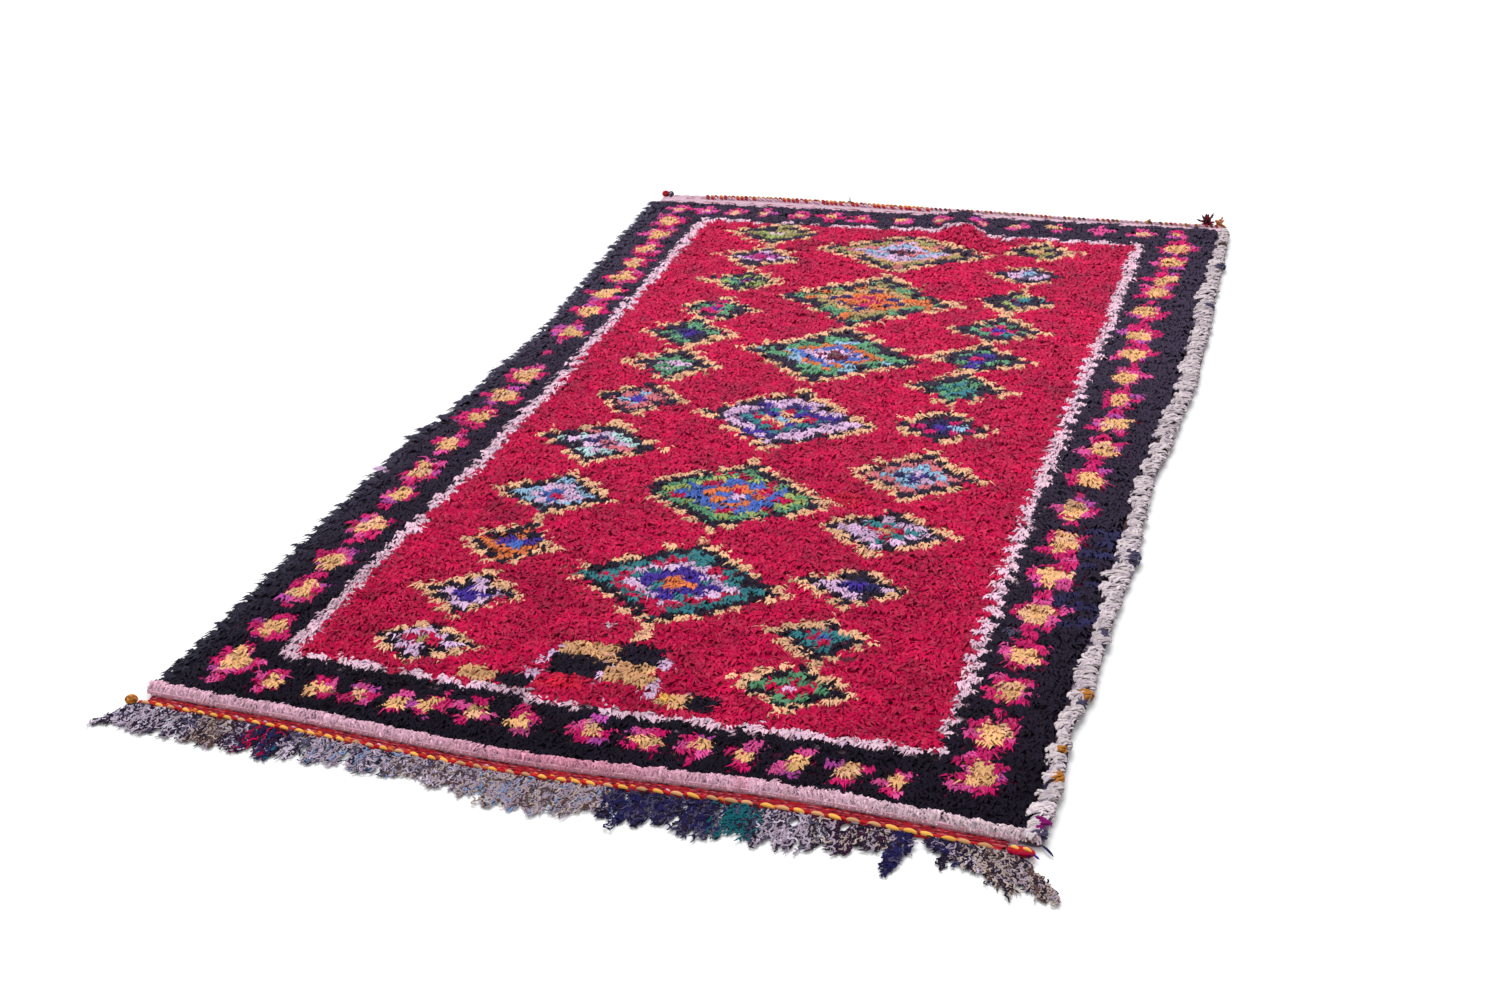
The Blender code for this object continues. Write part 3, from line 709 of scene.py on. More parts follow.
def knot_locks():
    """All locks of the pile: their vertices, dyes, colours and knots' places along the rug."""
    column, row = (v.ravel() for v in np.meshgrid(np.arange(KNOT_COLUMNS), np.arange(KNOT_ROWS)))
    knot_x, knot_y = from_grid(column, row)
    count = len(knot_x)
    knot_x = knot_x + spread(KNOT_STRAY_X, count)
    knot_y = knot_y + spread(KNOT_STRAY_Y, count)
    sway = cloudy(knot_x, knot_y, "sway") + spread(KNOT_SWAY, count)
    swell = cloudy(knot_x, knot_y, "swell") + spread(KNOT_SWELL, count)
    draw = chance(count)
    in_field = paint(knot_x, knot_y, draw) == dye("crimson")
    knot_tone = KNOT_TONE + np.where(in_field, *KNOT_TONE_SPREAD) * spread(1.0, count)
    for cloud in ("wide tone", "fine tone"):
        knot_tone = knot_tone + cloudy(knot_x, knot_y, cloud, in_field)
    knot = np.repeat(np.arange(count), LOCKS_PER_KNOT)
    many = len(knot)
    fan = np.tile((np.arange(LOCKS_PER_KNOT) + 0.5) / LOCKS_PER_KNOT * 2.0 - 1.0, count)
    fan = fan + spread(FAN_SPREAD, many)
    layer = rng.uniform(-1.0, 1.0, many)
    lock_sway = np.where(in_field[knot], FIELD_LOCK_SWAY, LOCK_SWAY)
    heading = fan * FAN_ANGLE + sway[knot] + lock_sway * spread(1.0, many)
    length = LOCK_LENGTH * rng.uniform(*LOCK_LENGTHS, many)
    width = LOCK_NARROW + (LOCK_WIDE - LOCK_NARROW) * chance(many) ** 1.5
    loose = chance(many) < LOOSE_SHARE
    length = np.where(loose, LOOSE_LENGTH, 1.0) * length
    width = np.where(loose, LOOSE_WIDTH, 1.0) * width
    x = knot_x[knot] + fan * ROOT_ASIDE
    y = knot_y[knot] + ROOT_BACK + layer * ROOT_ALONG
    to_left = np.exp(-column[knot] / RIM_FADE)
    across_tooth = (y / RIM_TOOTH_PITCH + 0.25 * np.sin(y * 13.0)) % 1.0
    tooth = np.where(across_tooth < 0.3, across_tooth / 0.3, (1.0 - across_tooth) / 0.7)
    x = x - to_left * RIM_TOOTH_REACH * (tooth - 0.35)
    heading = heading * (1.0 - 0.5 * to_left) - RIM_TURN * to_left
    crown = PILE_TOP + LOCK_CROWN * (1.0 - fan ** 2) + swell[knot] + spread(LOCK_CROWN_SPREAD, many)
    crown = crown - LOCK_CROWN * layer - RIM_FALL * to_left + np.where(loose, LOOSE_RISE, 0.0)
    lift = ripple(x, y)
    root = np.column_stack([x, y, np.full(many, LOCK_ROOT) + lift])
    droop, roll = rng.uniform(*LOCK_DROOP, many), spread(LOCK_ROLL, many)
    verts = lock_verts(root, heading, length, width, crown + lift, droop, roll)
    whole = np.where(abs(knot_x[knot]) < WHOLE_KNOTS_X, *KNOT_WEIGHTS)
    seen_x = (1.0 - whole) * (x + np.sin(heading) * length * 0.30) + whole * knot_x[knot]
    seen_y = (1.0 - whole) * (y - LOCK_LENGTH * 0.50) + whole * (knot_y[knot] - SEEN_AHEAD)
    dyes = paint(seen_x, seen_y, draw[knot])
    tone = np.clip(knot_tone[knot] + spread(LOCK_TONE_SPREAD, many), *LOCK_TONE_LIMITS)[:, None]
    colours = PALETTE[dyes] * (1.0 + spread(LOCK_DYE_SPREAD, (many, 3)))
    # Painted sheen: each lock is lifted towards white by a random share
    sheen = LOCK_SHEEN * chance((many, 1)) ** 2
    colours = colours * tone + sheen * colours.max(axis=1, keepdims=True)
    # Painted sheen on the locks at the left rim
    colours = colours + np.array(RIM_SHEEN) * to_left[:, None]
    # Painted sheen pales the far pile; LOCK_SHADE paints shade at each lock's root and light at its tip
    colours = np.clip(painted_far_sheen(colours, y)[:, None] * LOCK_SHADE[None, :, None], 0.0, 1.0)
    shown = dyes != dye("pink stripe")
    return verts.reshape(-1, LOCK_VERTS, 3)[shown], dyes[shown], colours[shown], knot_y[knot][shown]


def pile_piece(name, chosen, verts, colours, material):
    """One piece of the pile, made of the chosen locks."""
    verts, colours = verts[chosen].reshape(-1, 3), colours[chosen].reshape(-1, 3)
    count = len(verts) // LOCK_VERTS
    made = joined(name, verts, lock_faces(count), colours, lock_cells(count))
    return finish_piece(made, material)


def make_pile(material):
    """The knotted pile, in pieces by dye and half."""
    verts, dyes, colours, knot_y = knot_locks()
    field, outer, lines = (np.isin(dyes, [dye(name) for name in names.split(",")]) for names in (
        "crimson,scarlet",
        "black,navy black",
        "pink line,magenta,orchid,violet,star yellow",
    ))
    far = knot_y > 0.0
    pieces = {
        "pile_field_far": field & far,
        "pile_field_near": field & ~far,
        "pile_black_far": outer & far,
        "pile_black_near": outer & ~far,
        "pile_lozenges": ~(field | lines | outer),
        "pile_stars_and_lines": lines,
    }
    return [pile_piece(name, chosen, verts, colours, material) for name, chosen in pieces.items()]


def make_stripe(material):
    """The pink stripe: long crinkled tufts that hang over the near edge."""
    left = float(read(OUTLINE, NEAR_EDGE_Y, 1)) - STRIPE_PAST_LEFT
    tufts = round((STRIPE_RIGHT - left) / STRIPE_PITCH)
    tuft_x = left + (np.arange(tufts) + 0.5) * STRIPE_PITCH + spread(0.0012, tufts)
    tuft_depth = rng.normal(1.0, 0.13, tufts)
    tuft_lean = rng.normal(-0.0030, 0.0045, tufts)
    tuft_tone = rng.normal(1.0, 0.05, tufts)
    number = np.repeat(np.arange(tufts), STRIPE_RIBBONS)
    x, depth, lean, tone = (v[number][:, None] for v in (tuft_x, tuft_depth, tuft_lean, tuft_tone))
    many = (len(number), 1)
    t = np.linspace(0.0, 1.0, STRIPE_POINTS)[None]
    offset = rng.uniform(-1.0, 1.0, many)
    x = x + offset * STRIPE_TUFT_HALF
    depth = read(STRIPE_DEPTH, x, 1) * depth * rng.uniform(0.88, 1.06, many)
    crinkle = rng.uniform(1.5, 3.5, many) * 2.0 * math.pi * t + rng.uniform(0.0, 6.3, many)
    path_x = x - lean * t + spread(0.0035, many) * t + 0.0020 * np.sin(crinkle)
    path_y = near_edge(x) + depth * (1.0 - t) - rng.uniform(-0.004, 0.002, many) * t
    bulge = 0.0018 * (1.0 - offset ** 2) * np.sin(math.pi * t) + rng.uniform(-0.0008, 0.0008, many)
    path_z = np.interp(t, STRIPE_PROFILE_AT, STRIPE_PROFILE_Z) + bulge + 0.0012 * np.cos(1.6 * crinkle)
    half = rng.uniform(*STRIPE_RIBBON_HALF, many) * (0.75 + 0.25 * np.sin(1.3 * crinkle))
    reddened = smooth(1.0 - abs(x - 0.02) / 0.30) * 0.8 + 0.5 * (abs(x - 0.30) < 0.012)
    tones = PALETTE[dye("pink stripe")] * (1.0 - np.array([0.08, 0.42, 0.34]) * reddened)
    tones = tones + (PALETTE[dye("selvage white")] - tones) * 0.6 * smooth((x - 0.30) / 0.40)
    tones = tones * (0.92 * tone + spread(0.12, many))
    tones = tones[:, None] * (1.0 + 0.12 * np.sin(2.1 * crinkle) + spread(0.12, crinkle.shape))[..., None]
    paths = np.stack([path_x, path_y, path_z], axis=2)
    return yarn_piece("pile_stripe", [ribbons(paths, half, 0.45 * half, tones)], material)


def make_ground(material):
    """The woven ground that holds the knots: a thin closed slab in the dyes of the knots above it, darkened
    as painted shade under the locks.
    """
    column, row = np.meshgrid(np.arange(KNOT_COLUMNS + 1) - 0.5, np.arange(KNOT_ROWS + 1) - 0.5)
    x, y = from_grid(column.ravel(), row.ravel())
    bottom = np.column_stack([x, y, ripple(x, y)])
    verts = np.concatenate([bottom, bottom + (0.0, 0.0, GROUND_TOP)])
    count = len(x)
    number = np.arange(count).reshape(KNOT_ROWS + 1, KNOT_COLUMNS + 1)
    cells = [number[:-1, :-1], number[:-1, 1:], number[1:, 1:], number[1:, :-1]]
    cells = np.stack(cells, axis=2).reshape(-1, 4)
    rim = np.concatenate([number[0, :-1], number[:-1, -1], number[-1, :0:-1], number[:0:-1, 0]])
    beside = np.roll(rim, -1)
    sides = np.stack([rim, beside, beside + count, rim + count], axis=1)
    faces = np.concatenate([cells[:, ::-1], cells + count, sides]).tolist()
    dyes = paint(verts[:, 0], verts[:, 1], np.full(len(verts), 0.5))
    # The ground's dyes are darkened as painted shade under the pile
    ground = joined("ground_weave", verts, faces, PALETTE[dyes] * GROUND_SHADE, smoothed=False)
    return finish_piece(ground, material, ["pile_body"])


# Ends and sides


def colour_of(names, count):
    """A palette colour for each of count things, drawn from a comma-separated list."""
    picked = rng.choice([dye(name) for name in names.split(",")], count)
    return PALETTE[picked]


def yarn_piece(name, groups, material, replaced=()):
    """One piece from groups of tubes: each group has its vertices, quads and colours."""
    verts, quads, colours, total = [], [], [], 0
    for group_verts, group_quads, group_colours in groups:
        verts.append(group_verts)
        quads.append(group_quads + total)
        colours.append(group_colours.reshape(-1, 3))
        total += len(group_verts)
    made = joined(name, np.concatenate(verts), np.concatenate(quads).tolist(), np.concatenate(colours))
    return finish_piece(made, material, replaced)


def yarn_group(paths, radius, sides, colours, reference=(0.0, 0.0, 1.0), taper=0.35):
    """Tubes along paths with a round section of that radius for each path, drawn in at both ends."""
    count, points = paths.shape[:2]
    radii = np.repeat(np.broadcast_to(radius, (count,))[:, None], points, axis=1)
    radii[:, 0] *= taper
    radii[:, -1] *= taper
    verts, quads = swept(paths, round_section(np.stack([radii, radii], axis=2), sides), True, reference)
    return verts, quads, by_corner(colours, points, sides)


def around_holes(x, y):
    """The points of fringe yarns, pushed out of its holes."""
    for hole_x, hole_y, half_x, half_y in FRINGE_HOLES:
        across, along = (x - hole_x) / half_x, (y - hole_y) / half_y
        push = 1.0 / np.clip(np.hypot(across, along), 0.05, 1.0)
        x, y = hole_x + across * push * half_x, hole_y + along * push * half_y
    return x, y


def fringe_paths(x, length, lean, fanned, bend):
    """Wavy paths of fringe yarns that start at x under the near braid and lie down to the floor."""
    many = (len(x), 1)
    t = np.linspace(0.0, 1.0, FRINGE_POINTS)[None]
    x, length, lean = (v[:, None] for v in (x, length, lean))
    fan = fanned * spread(1.0, many) * t ** 1.2
    wander = spread(FRINGE_WANDER, many) * np.sin(math.pi * t * rng.uniform(0.8, 2.6, many))
    phase = 2.0 * math.pi * (length / rng.uniform(*CURL_PITCH, many) * t + chance(many))
    curl = rng.uniform(*CURL_RADIUS, many) * smooth(t * 5.0)
    path_x = x + lean * t ** bend + fan + wander + curl * np.sin(phase)
    turned = phase + rng.uniform(-0.8, 0.8, many)
    path_y = braid_near_y(x) - FRINGE_DROP - length * t + curl * np.cos(turned)
    path_x, path_y = around_holes(path_x, path_y)
    path_z = 0.0012 + rng.uniform(0.0, 0.0045, many) * (1.0 - 0.6 * t)
    path_z = path_z + 0.3 * curl * (1.0 + np.cos(1.3 * phase))
    return np.stack([path_x, path_y, path_z], axis=2)


def curl_paths(paths):
    """Short curled yarn ends that cling to the yarns of those paths, and the number of each one's yarn."""
    yarn = np.repeat(np.arange(len(paths)), CURLS_PER_YARN)
    many = (len(yarn), 1)
    middle = paths[yarn, rng.integers(1, FRINGE_POINTS - 1, len(yarn))]
    t = np.linspace(0.0, 1.0, CURL_POINTS)[None]
    waves = np.sin(2.0 * math.pi * (t * rng.uniform(0.8, 1.6, many) + chance(many)))
    turn = spread(0.8, many) + spread(2.0, many) * (t - 0.5) + 1.1 * waves
    step = rng.uniform(*CURL_LENGTH, many) / (CURL_POINTS - 1)
    ahead = [np.cumsum(step * np.sin(turn), axis=1), -np.cumsum(step * np.cos(turn), axis=1)]
    x, y = (middle[:, axis:axis + 1] + v - v.mean(axis=1, keepdims=True) for axis, v in enumerate(ahead))
    x, y = around_holes(x, np.minimum(y, braid_near_y(x) - FRINGE_DROP))
    z = np.maximum(middle[:, 2:] + rng.uniform(-0.0010, 0.0022, many) + 0.0006 * waves, 0.0013)
    return np.stack([x, y, z], axis=2), yarn


def fringe_groups(x, length, lean, fanned, bend, lists):
    """Fringe yarns and the curls that cling to them. The lists name each yarn's light and dark dyes."""
    paths = fringe_paths(x, length, lean, fanned, bend)
    curls, yarn = curl_paths(paths)
    groups = []
    for group, group_lists in ((paths, lists), (curls, [lists[number] for number in yarn])):
        tones = PALETTE[pick_dyes(group_lists)] * rng.uniform(0.75, 1.2, (len(group), 1))
        half = rng.uniform(FRINGE_NARROW, FRINGE_WIDE, (len(group), 1)) * np.ones(group.shape[1])
        half[:, -1] *= 0.4
        groups.append(ribbons(group, half, 0.8 * half, tones))
    return groups


def pick_dyes(lists):
    """A dye for each yarn, from its light or its dark list."""
    is_light = chance(len(lists)) < LIGHT_YARNS
    picked = [pair[0 if light else 1].split(",") for light, pair in zip(is_light, lists)]
    return np.array([dye(rng.choice(names)) for names in picked])


def make_fringe(material):
    """The warp fringe of curly yarns in ragged clumps, with its tassels."""
    x = rng.uniform(*FRINGE_SPAN, FRINGE_YARNS)
    x = x[abs(x - FRINGE_GAP_X) > FRINGE_GAP_HALF]
    zones = np.searchsorted([row[0] for row in FRINGE_DYES], x + spread(0.006, len(x)))
    clump = (x + 0.010 * np.sin(x * 31.0)) / FRINGE_CLUMP
    aside = 2.0 * (clump % 1.0) - 1.0
    lobe = (1.0 - 0.22 * aside ** 2) * (1.0 + 0.08 * np.sin(np.floor(clump) * 2.7))
    length = read(FRINGE_CUT, x, 1) * lobe * rng.uniform(0.74, 0.97, len(x))
    lean = np.where(x > 0.690, 0.030, read(FRINGE_CUT, x, 2) - 0.006 * aside)
    lists = [FRINGE_DYES[min(zone, len(FRINGE_DYES) - 1)][1:] for zone in zones]
    groups = fringe_groups(x, length, lean, 0.003, 1.7, lists)
    for place, count, reach, lean, fanned, bend, light, dark in TASSELS:
        x = place + spread(0.4 * fanned + 0.003, count)
        length = reach * rng.uniform(0.62, 1.0, count) ** 0.7
        groups += fringe_groups(x, length, lean * length / reach, fanned, bend, [(light, dark)] * count)
    return yarn_piece("fringe_yarns", groups, material, ["fringe_near"])


def stitches(x, y, z, length, slant, half_width, names):
    """Short stitches that lie along an end of the rug, each a yarn that swells in its middle."""
    t = np.linspace(-1.0, 1.0, 7)[None]
    count = len(x)
    given = (x, y, z, length, half_width)
    x, y, z, length, half_width = (np.broadcast_to(v, (count,))[:, None] for v in given)
    slants = slant + spread(0.0005, (count, 1))
    paths = np.stack([x + 0.5 * length * t, y - slants * t, z + 0.0022 * (1.0 - t ** 2)], axis=2)
    radii = half_width * np.sqrt(1.0 - 0.93 * t ** 2)
    section = round_section(np.stack([radii, 0.75 * radii], axis=2), 6)
    verts, quads = swept(paths, section, True)
    colours = colour_of(names, count) * rng.uniform(0.82, 1.12, (count, 1))
    return verts, quads, by_corner(colours, 7, 6)


def cords(x, rows, radius, sides, darkest, taper):
    """Cords side by side, dyed in dashes: each row has a cord's y and z along x, and its dyes."""
    paths, colours = [], []
    for y, z, names in rows:
        paths.append(np.stack([x, y, z], axis=1))
        colours.append(colour_of(names, len(x)) * rng.uniform(darkest, 1.12, (len(x), 1)))
    return yarn_group(np.array(paths), radius, sides, np.array(colours), taper=taper)


def braid_cords(span, y_of, names, offsets, radius):
    """The cords under a braid's stitches."""
    x = np.arange(span[0], span[1], 0.0045)
    rows = []
    for number, offset in enumerate(offsets):
        y = y_of(x) + offset + 0.0004 * np.sin(x * 350.0 + number * 2.0)
        z = ripple(x, y) + radius + 0.0008 * (1.0 + np.sin(x * 230.0 + number * 2.6))
        rows.append((y, z, names))
    return cords(x, rows, radius, 6, 0.8, 0.6)


def stitch_places(span, pitch):
    """Places of stitches along a span, a little uneven."""
    x = np.arange(span[0] + 0.6 * pitch, span[1] - 0.4 * pitch, pitch)
    return x + spread(0.09 * pitch, len(x))


def make_braids(material):
    """The twined braids along both ends."""
    x = stitch_places(BRAID_NEAR_SPAN, STITCH_PITCH)
    lengths, halves = read(NEAR_STITCHES, x, 1), read(NEAR_STITCHES, x, 2)
    lengths = lengths * rng.uniform(0.85, 1.12, len(x))
    mid = x[:-1] + STITCH_PITCH / 2.0
    left = mid[mid < 0.20]
    left_names = "amber,orange,red,pink stripe"
    near = [
        braid_cords(BRAID_NEAR_SPAN, braid_near_y, "red,brick,red", (-0.0030, 0.0005, 0.0036), 0.0024),
        stitches(x, braid_near_y(x) - 0.0012, 0.0056, lengths, 0.0010, halves, "yellow,yellow,tan"),
        stitches(mid, braid_near_y(mid) - 0.0008, 0.0050, 0.014, 0.0010, 0.0030, "red,brick,red,orange"),
        stitches(left, braid_near_y(left) + 0.0052, 0.0042, 0.009, 0.0008, 0.0020, left_names),
    ]
    x = stitch_places(BRAID_FAR_SPAN, 0.44 * STITCH_PITCH)
    x_left, x_right = x[(x > -0.62) & (x < 0.0)], x[x >= 0.0]
    pale = "pink line,pink stripe,sand,pink line"
    left_dyes, inner_dyes = "amber,ochre,tan,brick,tan", "red,brick,red,pink stripe,pink line"
    right_dyes = "tan,ochre,brick,pink line,salmon,umber,pink line"
    far = [
        braid_cords(BRAID_FAR_SPAN, braid_far_y, pale, (-0.0030, 0.0002, 0.0034), 0.0036),
        stitches(x_left, braid_far_y(x_left) - 0.001, 0.0078, 0.012, 0.006, 0.0036, left_dyes),
        stitches(x_left + 0.004, braid_far_y(x_left) - 0.013, 0.0070, 0.012, 0.006, 0.0032, inner_dyes),
        stitches(x_right, braid_far_y(x_right) - 0.003, 0.0078, 0.009, 0.006, 0.0032, right_dyes),
        tuft((0.560, braid_far_y(0.560), 0.008), (0.009, 0.006, 0.016), 12, 0.0020, "ochre,tan"),
        tuft((-0.213, braid_far_y(-0.213), 0.008), (0.008, 0.006, 0.012), 9, 0.0016, "sand,umber,slate"),
    ]
    return [
        yarn_piece("braid_near_strands", near, material, ["braid_near"]),
        yarn_piece("braid_far_strands", far, material, ["braid_far"]),
    ]


def weft_cords(span, edge_of, depth_of, count, radius, names_of, step):
    """Weft cords side by side along an end of the rug."""
    x = np.arange(span[0], span[1] + step, step)
    rows = []
    for number in range(count):
        share = (number + 0.5) / count
        y = edge_of(x) + depth_of(x) * share + 0.0004 * np.sin(x * 160.0 + number * 2.1)
        z = ripple(x, y) + BAND_THICKNESS - radius * 0.4 + 0.0006 * np.sin(x * 900.0 + number * math.pi)
        rows.append((y, z, names_of(number)))
    return cords(x, rows, radius, 4, 0.85, 0.8)


def band_ground(span, edge_of, depth_of, cells, name):
    """The closed strip under the weft cords of a band, its dye darkened as painted shade under the cords.
    """
    x = np.linspace(span[0], span[1], cells)
    inner, outer = edge_of(x), edge_of(x) + depth_of(x)
    top = BAND_THICKNESS * 0.6
    sections = [(inner, 0.0), (outer, 0.0), (outer, top), (inner, top)]
    verts = np.stack([np.stack([x, y, ripple(x, y) + z], axis=1) for y, z in sections], axis=1)
    step, side = np.meshgrid(np.arange(cells - 1), np.arange(4), indexing="ij")
    here, beside = (step * 4 + side).ravel(), (step * 4 + (side + 1) % 4).ravel()
    quads = np.stack([here, here + 4, beside + 4, beside], axis=1)
    ends = np.array([[0, 1, 2, 3], [4 * cells - 1, 4 * cells - 2, 4 * cells - 3, 4 * cells - 4]])
    quads = np.concatenate([quads, ends])
    # Painted shade: the strip's dye darkened under the cords
    colours = np.repeat(PALETTE[dye(name)][None] * 0.8, 4 * cells, axis=0)
    return verts.reshape(-1, 3), quads, colours


def make_bands(material):
    """The flat woven bands between the pile and the braids."""
    near_span = (float(read(OUTLINE, NEAR_EDGE_Y, 1)) + 0.004, BRAID_NEAR_SPAN[1] - 0.001)
    far_span = (float(read(OUTLINE, FAR_EDGE_Y, 1)) + 0.004, float(read(OUTLINE, FAR_EDGE_Y, 2)) + 0.010)
    near_rows = ("brick,salmon,maroon", "brick,red,maroon", "brick,salmon,red", "brick,maroon", "brick,red")
    pale = "pink line"
    far_rows = (pale, "pink stripe,pink line", pale, "pink line,brick,pink line", "selvage white")
    near_shape = (near_span, lambda x: near_edge(x) - 2.0 * GAP, lambda x: -BAND_NEAR_DEPTH + 0.0 * x)
    far_shape = (far_span, lambda x: FAR_EDGE_Y + GAP + 0.0 * x, lambda x: read(FAR_BAND_DEPTH, x, 1))
    near = [
        band_ground(*near_shape, 60, "maroon"),
        weft_cords(*near_shape, 6, 0.0015, lambda n: near_rows[n % 5], 0.0045),
    ]
    far = [
        band_ground(*far_shape, 90, "pink stripe"),
        weft_cords(*far_shape, 15, 0.0020, lambda n: far_rows[n % 5], 0.010),
    ]
    return [
        yarn_piece("band_near_weave", near, material, ["band_near"]),
        yarn_piece("band_far_weave", far, material, ["band_far"]),
    ]


def selvage_core(start):
    """The dark core that shows between the bundles of the overcast side: its own dyes, darkened further as
    painted shade between them.
    """
    y = np.arange(start, FAR_EDGE_Y, 0.012)
    half = read(OUTLINE, y, 3) / 2.0
    path = np.stack([read(OUTLINE, y, 2) + half, y, np.full(len(y), 0.0072)], axis=1)[None]
    radii = np.stack([np.full(len(y), 0.0068), 0.94 * half], axis=1)[None]
    verts, quads = swept(path, round_section(radii, 8), True, reference=(1.0, 0.0, 0.0))
    # Painted shade: the core's dyes darkened where it shows between the bundles
    tones = colour_of("mauve,umber,slate", len(y)) * 0.8
    return verts, quads, by_corner(tones[None], len(y), 8)


def selvage_bundles(start):
    """Matted rag locks of the overcast side: each bundle runs slantwise from the outer edge to the pile."""
    bundles = round((FAR_EDGE_Y - start) / BUNDLE_PITCH)
    place = start + (np.arange(bundles) + 0.6) * BUNDLE_PITCH + spread(0.0022, bundles)
    tone, tip = rng.uniform(0.80, 1.06, bundles), rng.uniform(0.62, 1.02, bundles)
    bulk = spread(BUNDLE_BULK, bundles)
    number = np.repeat(np.arange(bundles), BUNDLE_LOCKS)
    place, tone, tip, bulk = (v[number][:, None] for v in (place, tone, tip, bulk))
    many = (len(number), 1)
    offset = rng.uniform(-0.86, 0.86, many)
    root = rng.uniform(-0.05, 0.90, many)
    t = np.linspace(0.0, 1.0, 4)[None]
    slant = rng.normal(0.5, 0.45, many)
    length = rng.uniform(0.010, 0.018, many)
    share = root + length * np.cos(slant) / SELVAGE_WIDTH * t
    share = np.clip(share, 0.0, tip - 0.36 * abs(offset) ** 1.3)
    y = place + offset * 0.5 * BUNDLE_PITCH - 0.010 * root - length * np.sin(slant) * t + 0.005
    shares, outwards, heights = zip(*BUNDLE_PROFILE)
    x = read(OUTLINE, y, 2) + read(OUTLINE, y, 3) / 2.0 * (1.0 + np.interp(share, shares, outwards))
    x = x + bulk - 0.0040 * abs(offset) ** 3
    bulge = 0.0022 * (1.0 - offset ** 2) + 0.0010 * np.sin(math.pi * t) + rng.uniform(-0.0012, 0.0012, many)
    z = np.interp(share, shares, heights) + bulge - 0.0015 * t
    half = rng.uniform(0.0014, 0.0034, many) * np.array([0.6, 1.0, 0.9, 0.3])
    colours = colour_of("selvage white,selvage white,selvage lilac", len(number))
    # Painted shade: locks darker towards a bundle's sides, in the creases between bundles
    colours = colours * tone * rng.uniform(0.84, 1.08, many) * (1.0 - 0.3 * abs(offset) ** 3)
    for at, name in SELVAGE_BITS:
        colours[((abs(place - at) < BIT_HALF) & (root < BIT_REACH))[:, 0]] = PALETTE[dye(name)]
    return ribbons(np.stack([x, y, z], axis=2), half, 0.5 * half, colours)


def make_selvage(material):
    """The overcast side."""
    start = float(near_edge(0.72))
    groups = [selvage_core(start), selvage_bundles(start)]
    return yarn_piece("selvage_wraps", groups, material, ["selvage_right"])


def loops(middle, reach, count, radius, names):
    """A knot: loops of yarn wound round a middle, each tilted its own way."""
    turn = np.linspace(0.0, 2.0 * math.pi, 17)
    paths = []
    for _ in range(count):
        tilt = [Matrix.Rotation(rng.uniform(0.0, math.pi), 3, axis) for axis in "XY"]
        ring = np.stack([np.cos(turn), np.sin(turn), 0.0 * turn], axis=1) @ np.array(tilt[0] @ tilt[1])
        ring = ring * (np.array(reach) - radius) + np.array(middle)
        ring[:, 2] = np.maximum(ring[:, 2], radius)
        paths.append(ring)
    tones = colour_of(names, count) * rng.uniform(0.8, 1.15, (count, 1))
    return yarn_group(np.array(paths), radius, 6, tones, reference=(0.31, 0.22, 0.92), taper=1.0)


def tuft(middle, reach, count, radius, names):
    """A tuft: short bent yarn ends that stand out from a middle, away from the floor."""
    t = np.linspace(0.0, 1.0, 7)[None, :, None]
    out = spread(1.0, (count, 1, 3))
    out /= np.linalg.norm(out, axis=2, keepdims=True)
    bend = spread(0.25, (count, 1, 3))
    share = rng.uniform(0.6, 1.0, (count, 1, 1))
    paths = np.array(middle) + (out * t + bend * t ** 2) * np.array(reach) * share
    paths[:, :, 2] = np.maximum(abs(paths[:, :, 2]), radius)
    tones = colour_of(names, count) * rng.uniform(0.8, 1.15, (count, 1))
    return yarn_group(paths, radius, 5, tones, reference=(0.31, 0.22, 0.92))


def make_knots(material):
    """The knots that end the braids."""
    near_y, far_y = float(braid_near_y(0.722)), float(braid_far_y(-0.729)) + 0.0066
    right_y = float(braid_far_y(0.700)) + 0.015
    near_left = (-0.761, float(braid_near_y(-0.761)), 0.0075)
    red, ochre = "red,crimson,red,brick", "ochre,amber,ochre,umber"
    pieces = {
        "knot_near_left": [loops(near_left, (0.0115, 0.0100, 0.0075), 9, 0.0028, ochre)],
        "knot_near_right": [
            loops((0.722, near_y, 0.0072), (0.0205, 0.0095, 0.0072), 14, 0.0020, red),
            stitches(np.array([0.714, 0.730]), near_y, 0.0115, 0.014, 0.002, 0.0030, "yellow"),
            stitches(np.array([0.756]), near_y + 0.014, 0.0035, 0.020, 0.0090, 0.0022, "navy"),
            tuft((0.735, near_y, 0.008), (0.016, 0.010, 0.008), 7, 0.0016, "navy,purple"),
        ],
        "knot_far_left": [
            loops((-0.733, far_y, 0.0095), (0.011, 0.010, 0.009), 7, 0.0028, "red,red,brick"),
            loops((-0.718, far_y, 0.009), (0.008, 0.010, 0.009), 5, 0.0026, "slate,chalk"),
        ],
        "knot_far_right": [
            tuft((0.697, right_y, 0.0100), (0.020, 0.012, 0.026), 60, 0.0024, "umber,maroon,soot,brick"),
            tuft((0.726, right_y - 0.003, 0.009), (0.014, 0.010, 0.020), 34, 0.0024, "ochre,tan,orange"),
        ],
    }
    return [yarn_piece(name + "_yarn", groups, material, [name]) for name, groups in pieces.items()]


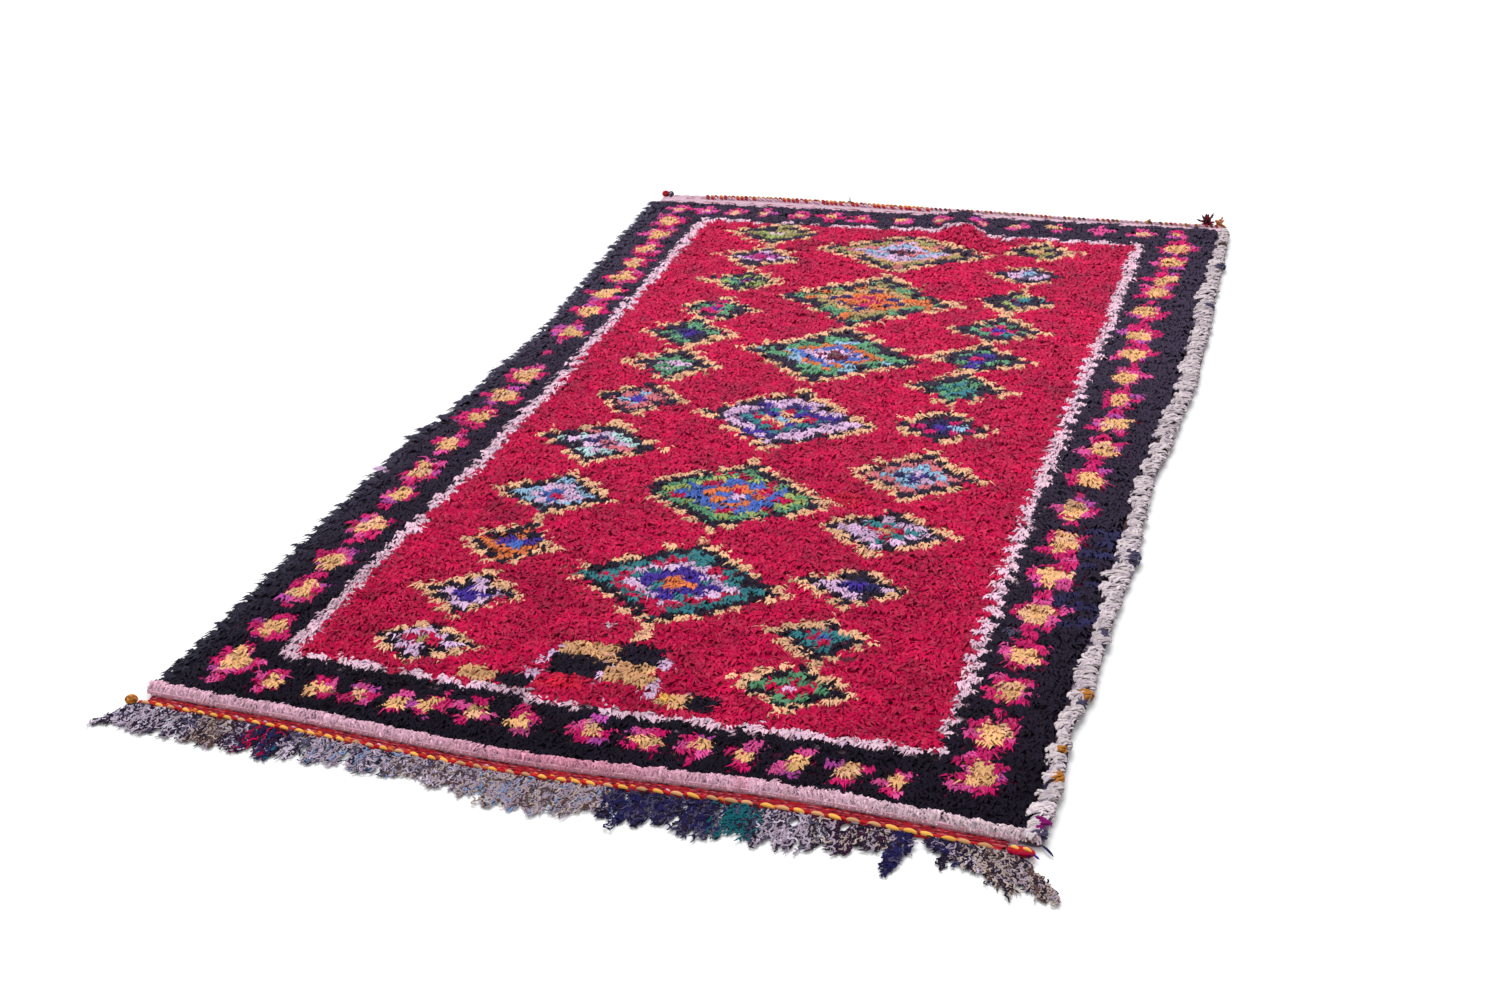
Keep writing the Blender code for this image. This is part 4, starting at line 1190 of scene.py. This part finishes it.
# Camera, light and floor, as in the photograph
CAMERA_PLACE = (1.10082, -2.95527, 1.66200)
CAMERA_YAW, CAMERA_ELEVATION, CAMERA_ROLL = 22.067, 30.28, -5.30
LENS, SENSOR = 41.92, 36.0
SKY_STRENGTH = 0.75
SUN_ENERGY, SUN_SIZE = 2.3, 45.0
SUN_TILT_X, SUN_TILT_Y = -34.0, -14.0


def make_studio():
    """Pale floor, soft light and the camera."""
    bpy.ops.mesh.primitive_plane_add(size=24.0, location=(0.0, 0.0, -0.0006))
    floor = bpy.context.object
    floor.name = "floor"
    paper = bpy.data.materials.new("studio_floor")
    paper.use_nodes = True
    surface = paper.node_tree.nodes["Principled BSDF"].inputs
    surface["Base Color"].default_value = (0.9, 0.9, 0.91, 1.0)
    surface["Roughness"].default_value = 0.9
    floor.data.materials.append(paper)
    world = bpy.data.worlds.new("studio")
    world.use_nodes = True
    sky = world.node_tree.nodes["Background"].inputs
    sky["Color"].default_value = (1.0, 1.0, 1.0, 1.0)
    sky["Strength"].default_value = SKY_STRENGTH
    sun = bpy.data.lights.new("softbox", "SUN")
    sun.energy = SUN_ENERGY
    sun.angle = math.radians(SUN_SIZE)
    lamp = bpy.data.objects.new("softbox", sun)
    lamp.rotation_euler = (math.radians(SUN_TILT_X), math.radians(SUN_TILT_Y), 0.0)
    lens = bpy.data.cameras.new("camera")
    lens.lens = LENS
    lens.sensor_width = SENSOR
    camera = bpy.data.objects.new("camera", lens)
    turn = Matrix.Rotation(math.radians(CAMERA_YAW), 4, "Z")
    turn = turn @ Matrix.Rotation(math.radians(90.0 - CAMERA_ELEVATION), 4, "X")
    turn = turn @ Matrix.Rotation(math.radians(CAMERA_ROLL), 4, "Z")
    camera.matrix_world = Matrix.Translation(Vector(CAMERA_PLACE)) @ turn
    scene = bpy.context.scene
    for made in (lamp, camera):
        scene.collection.objects.link(made)
    scene.world = world
    scene.camera = camera
    scene.view_settings.view_transform = "Standard"


make_studio()
rag = cloth("rag_cloth", 0.0010, 600.0)
ground = make_ground(rag)
pile = [*make_pile(rag), make_stripe(rag)]
yarn = cloth("plied_yarn", 0.0005, 1100.0)
wrap = cloth("wound_rag", 0.0008, 520.0)
ends = [make_fringe(yarn), *make_braids(yarn), *make_bands(yarn), make_selvage(wrap), *make_knots(yarn)]
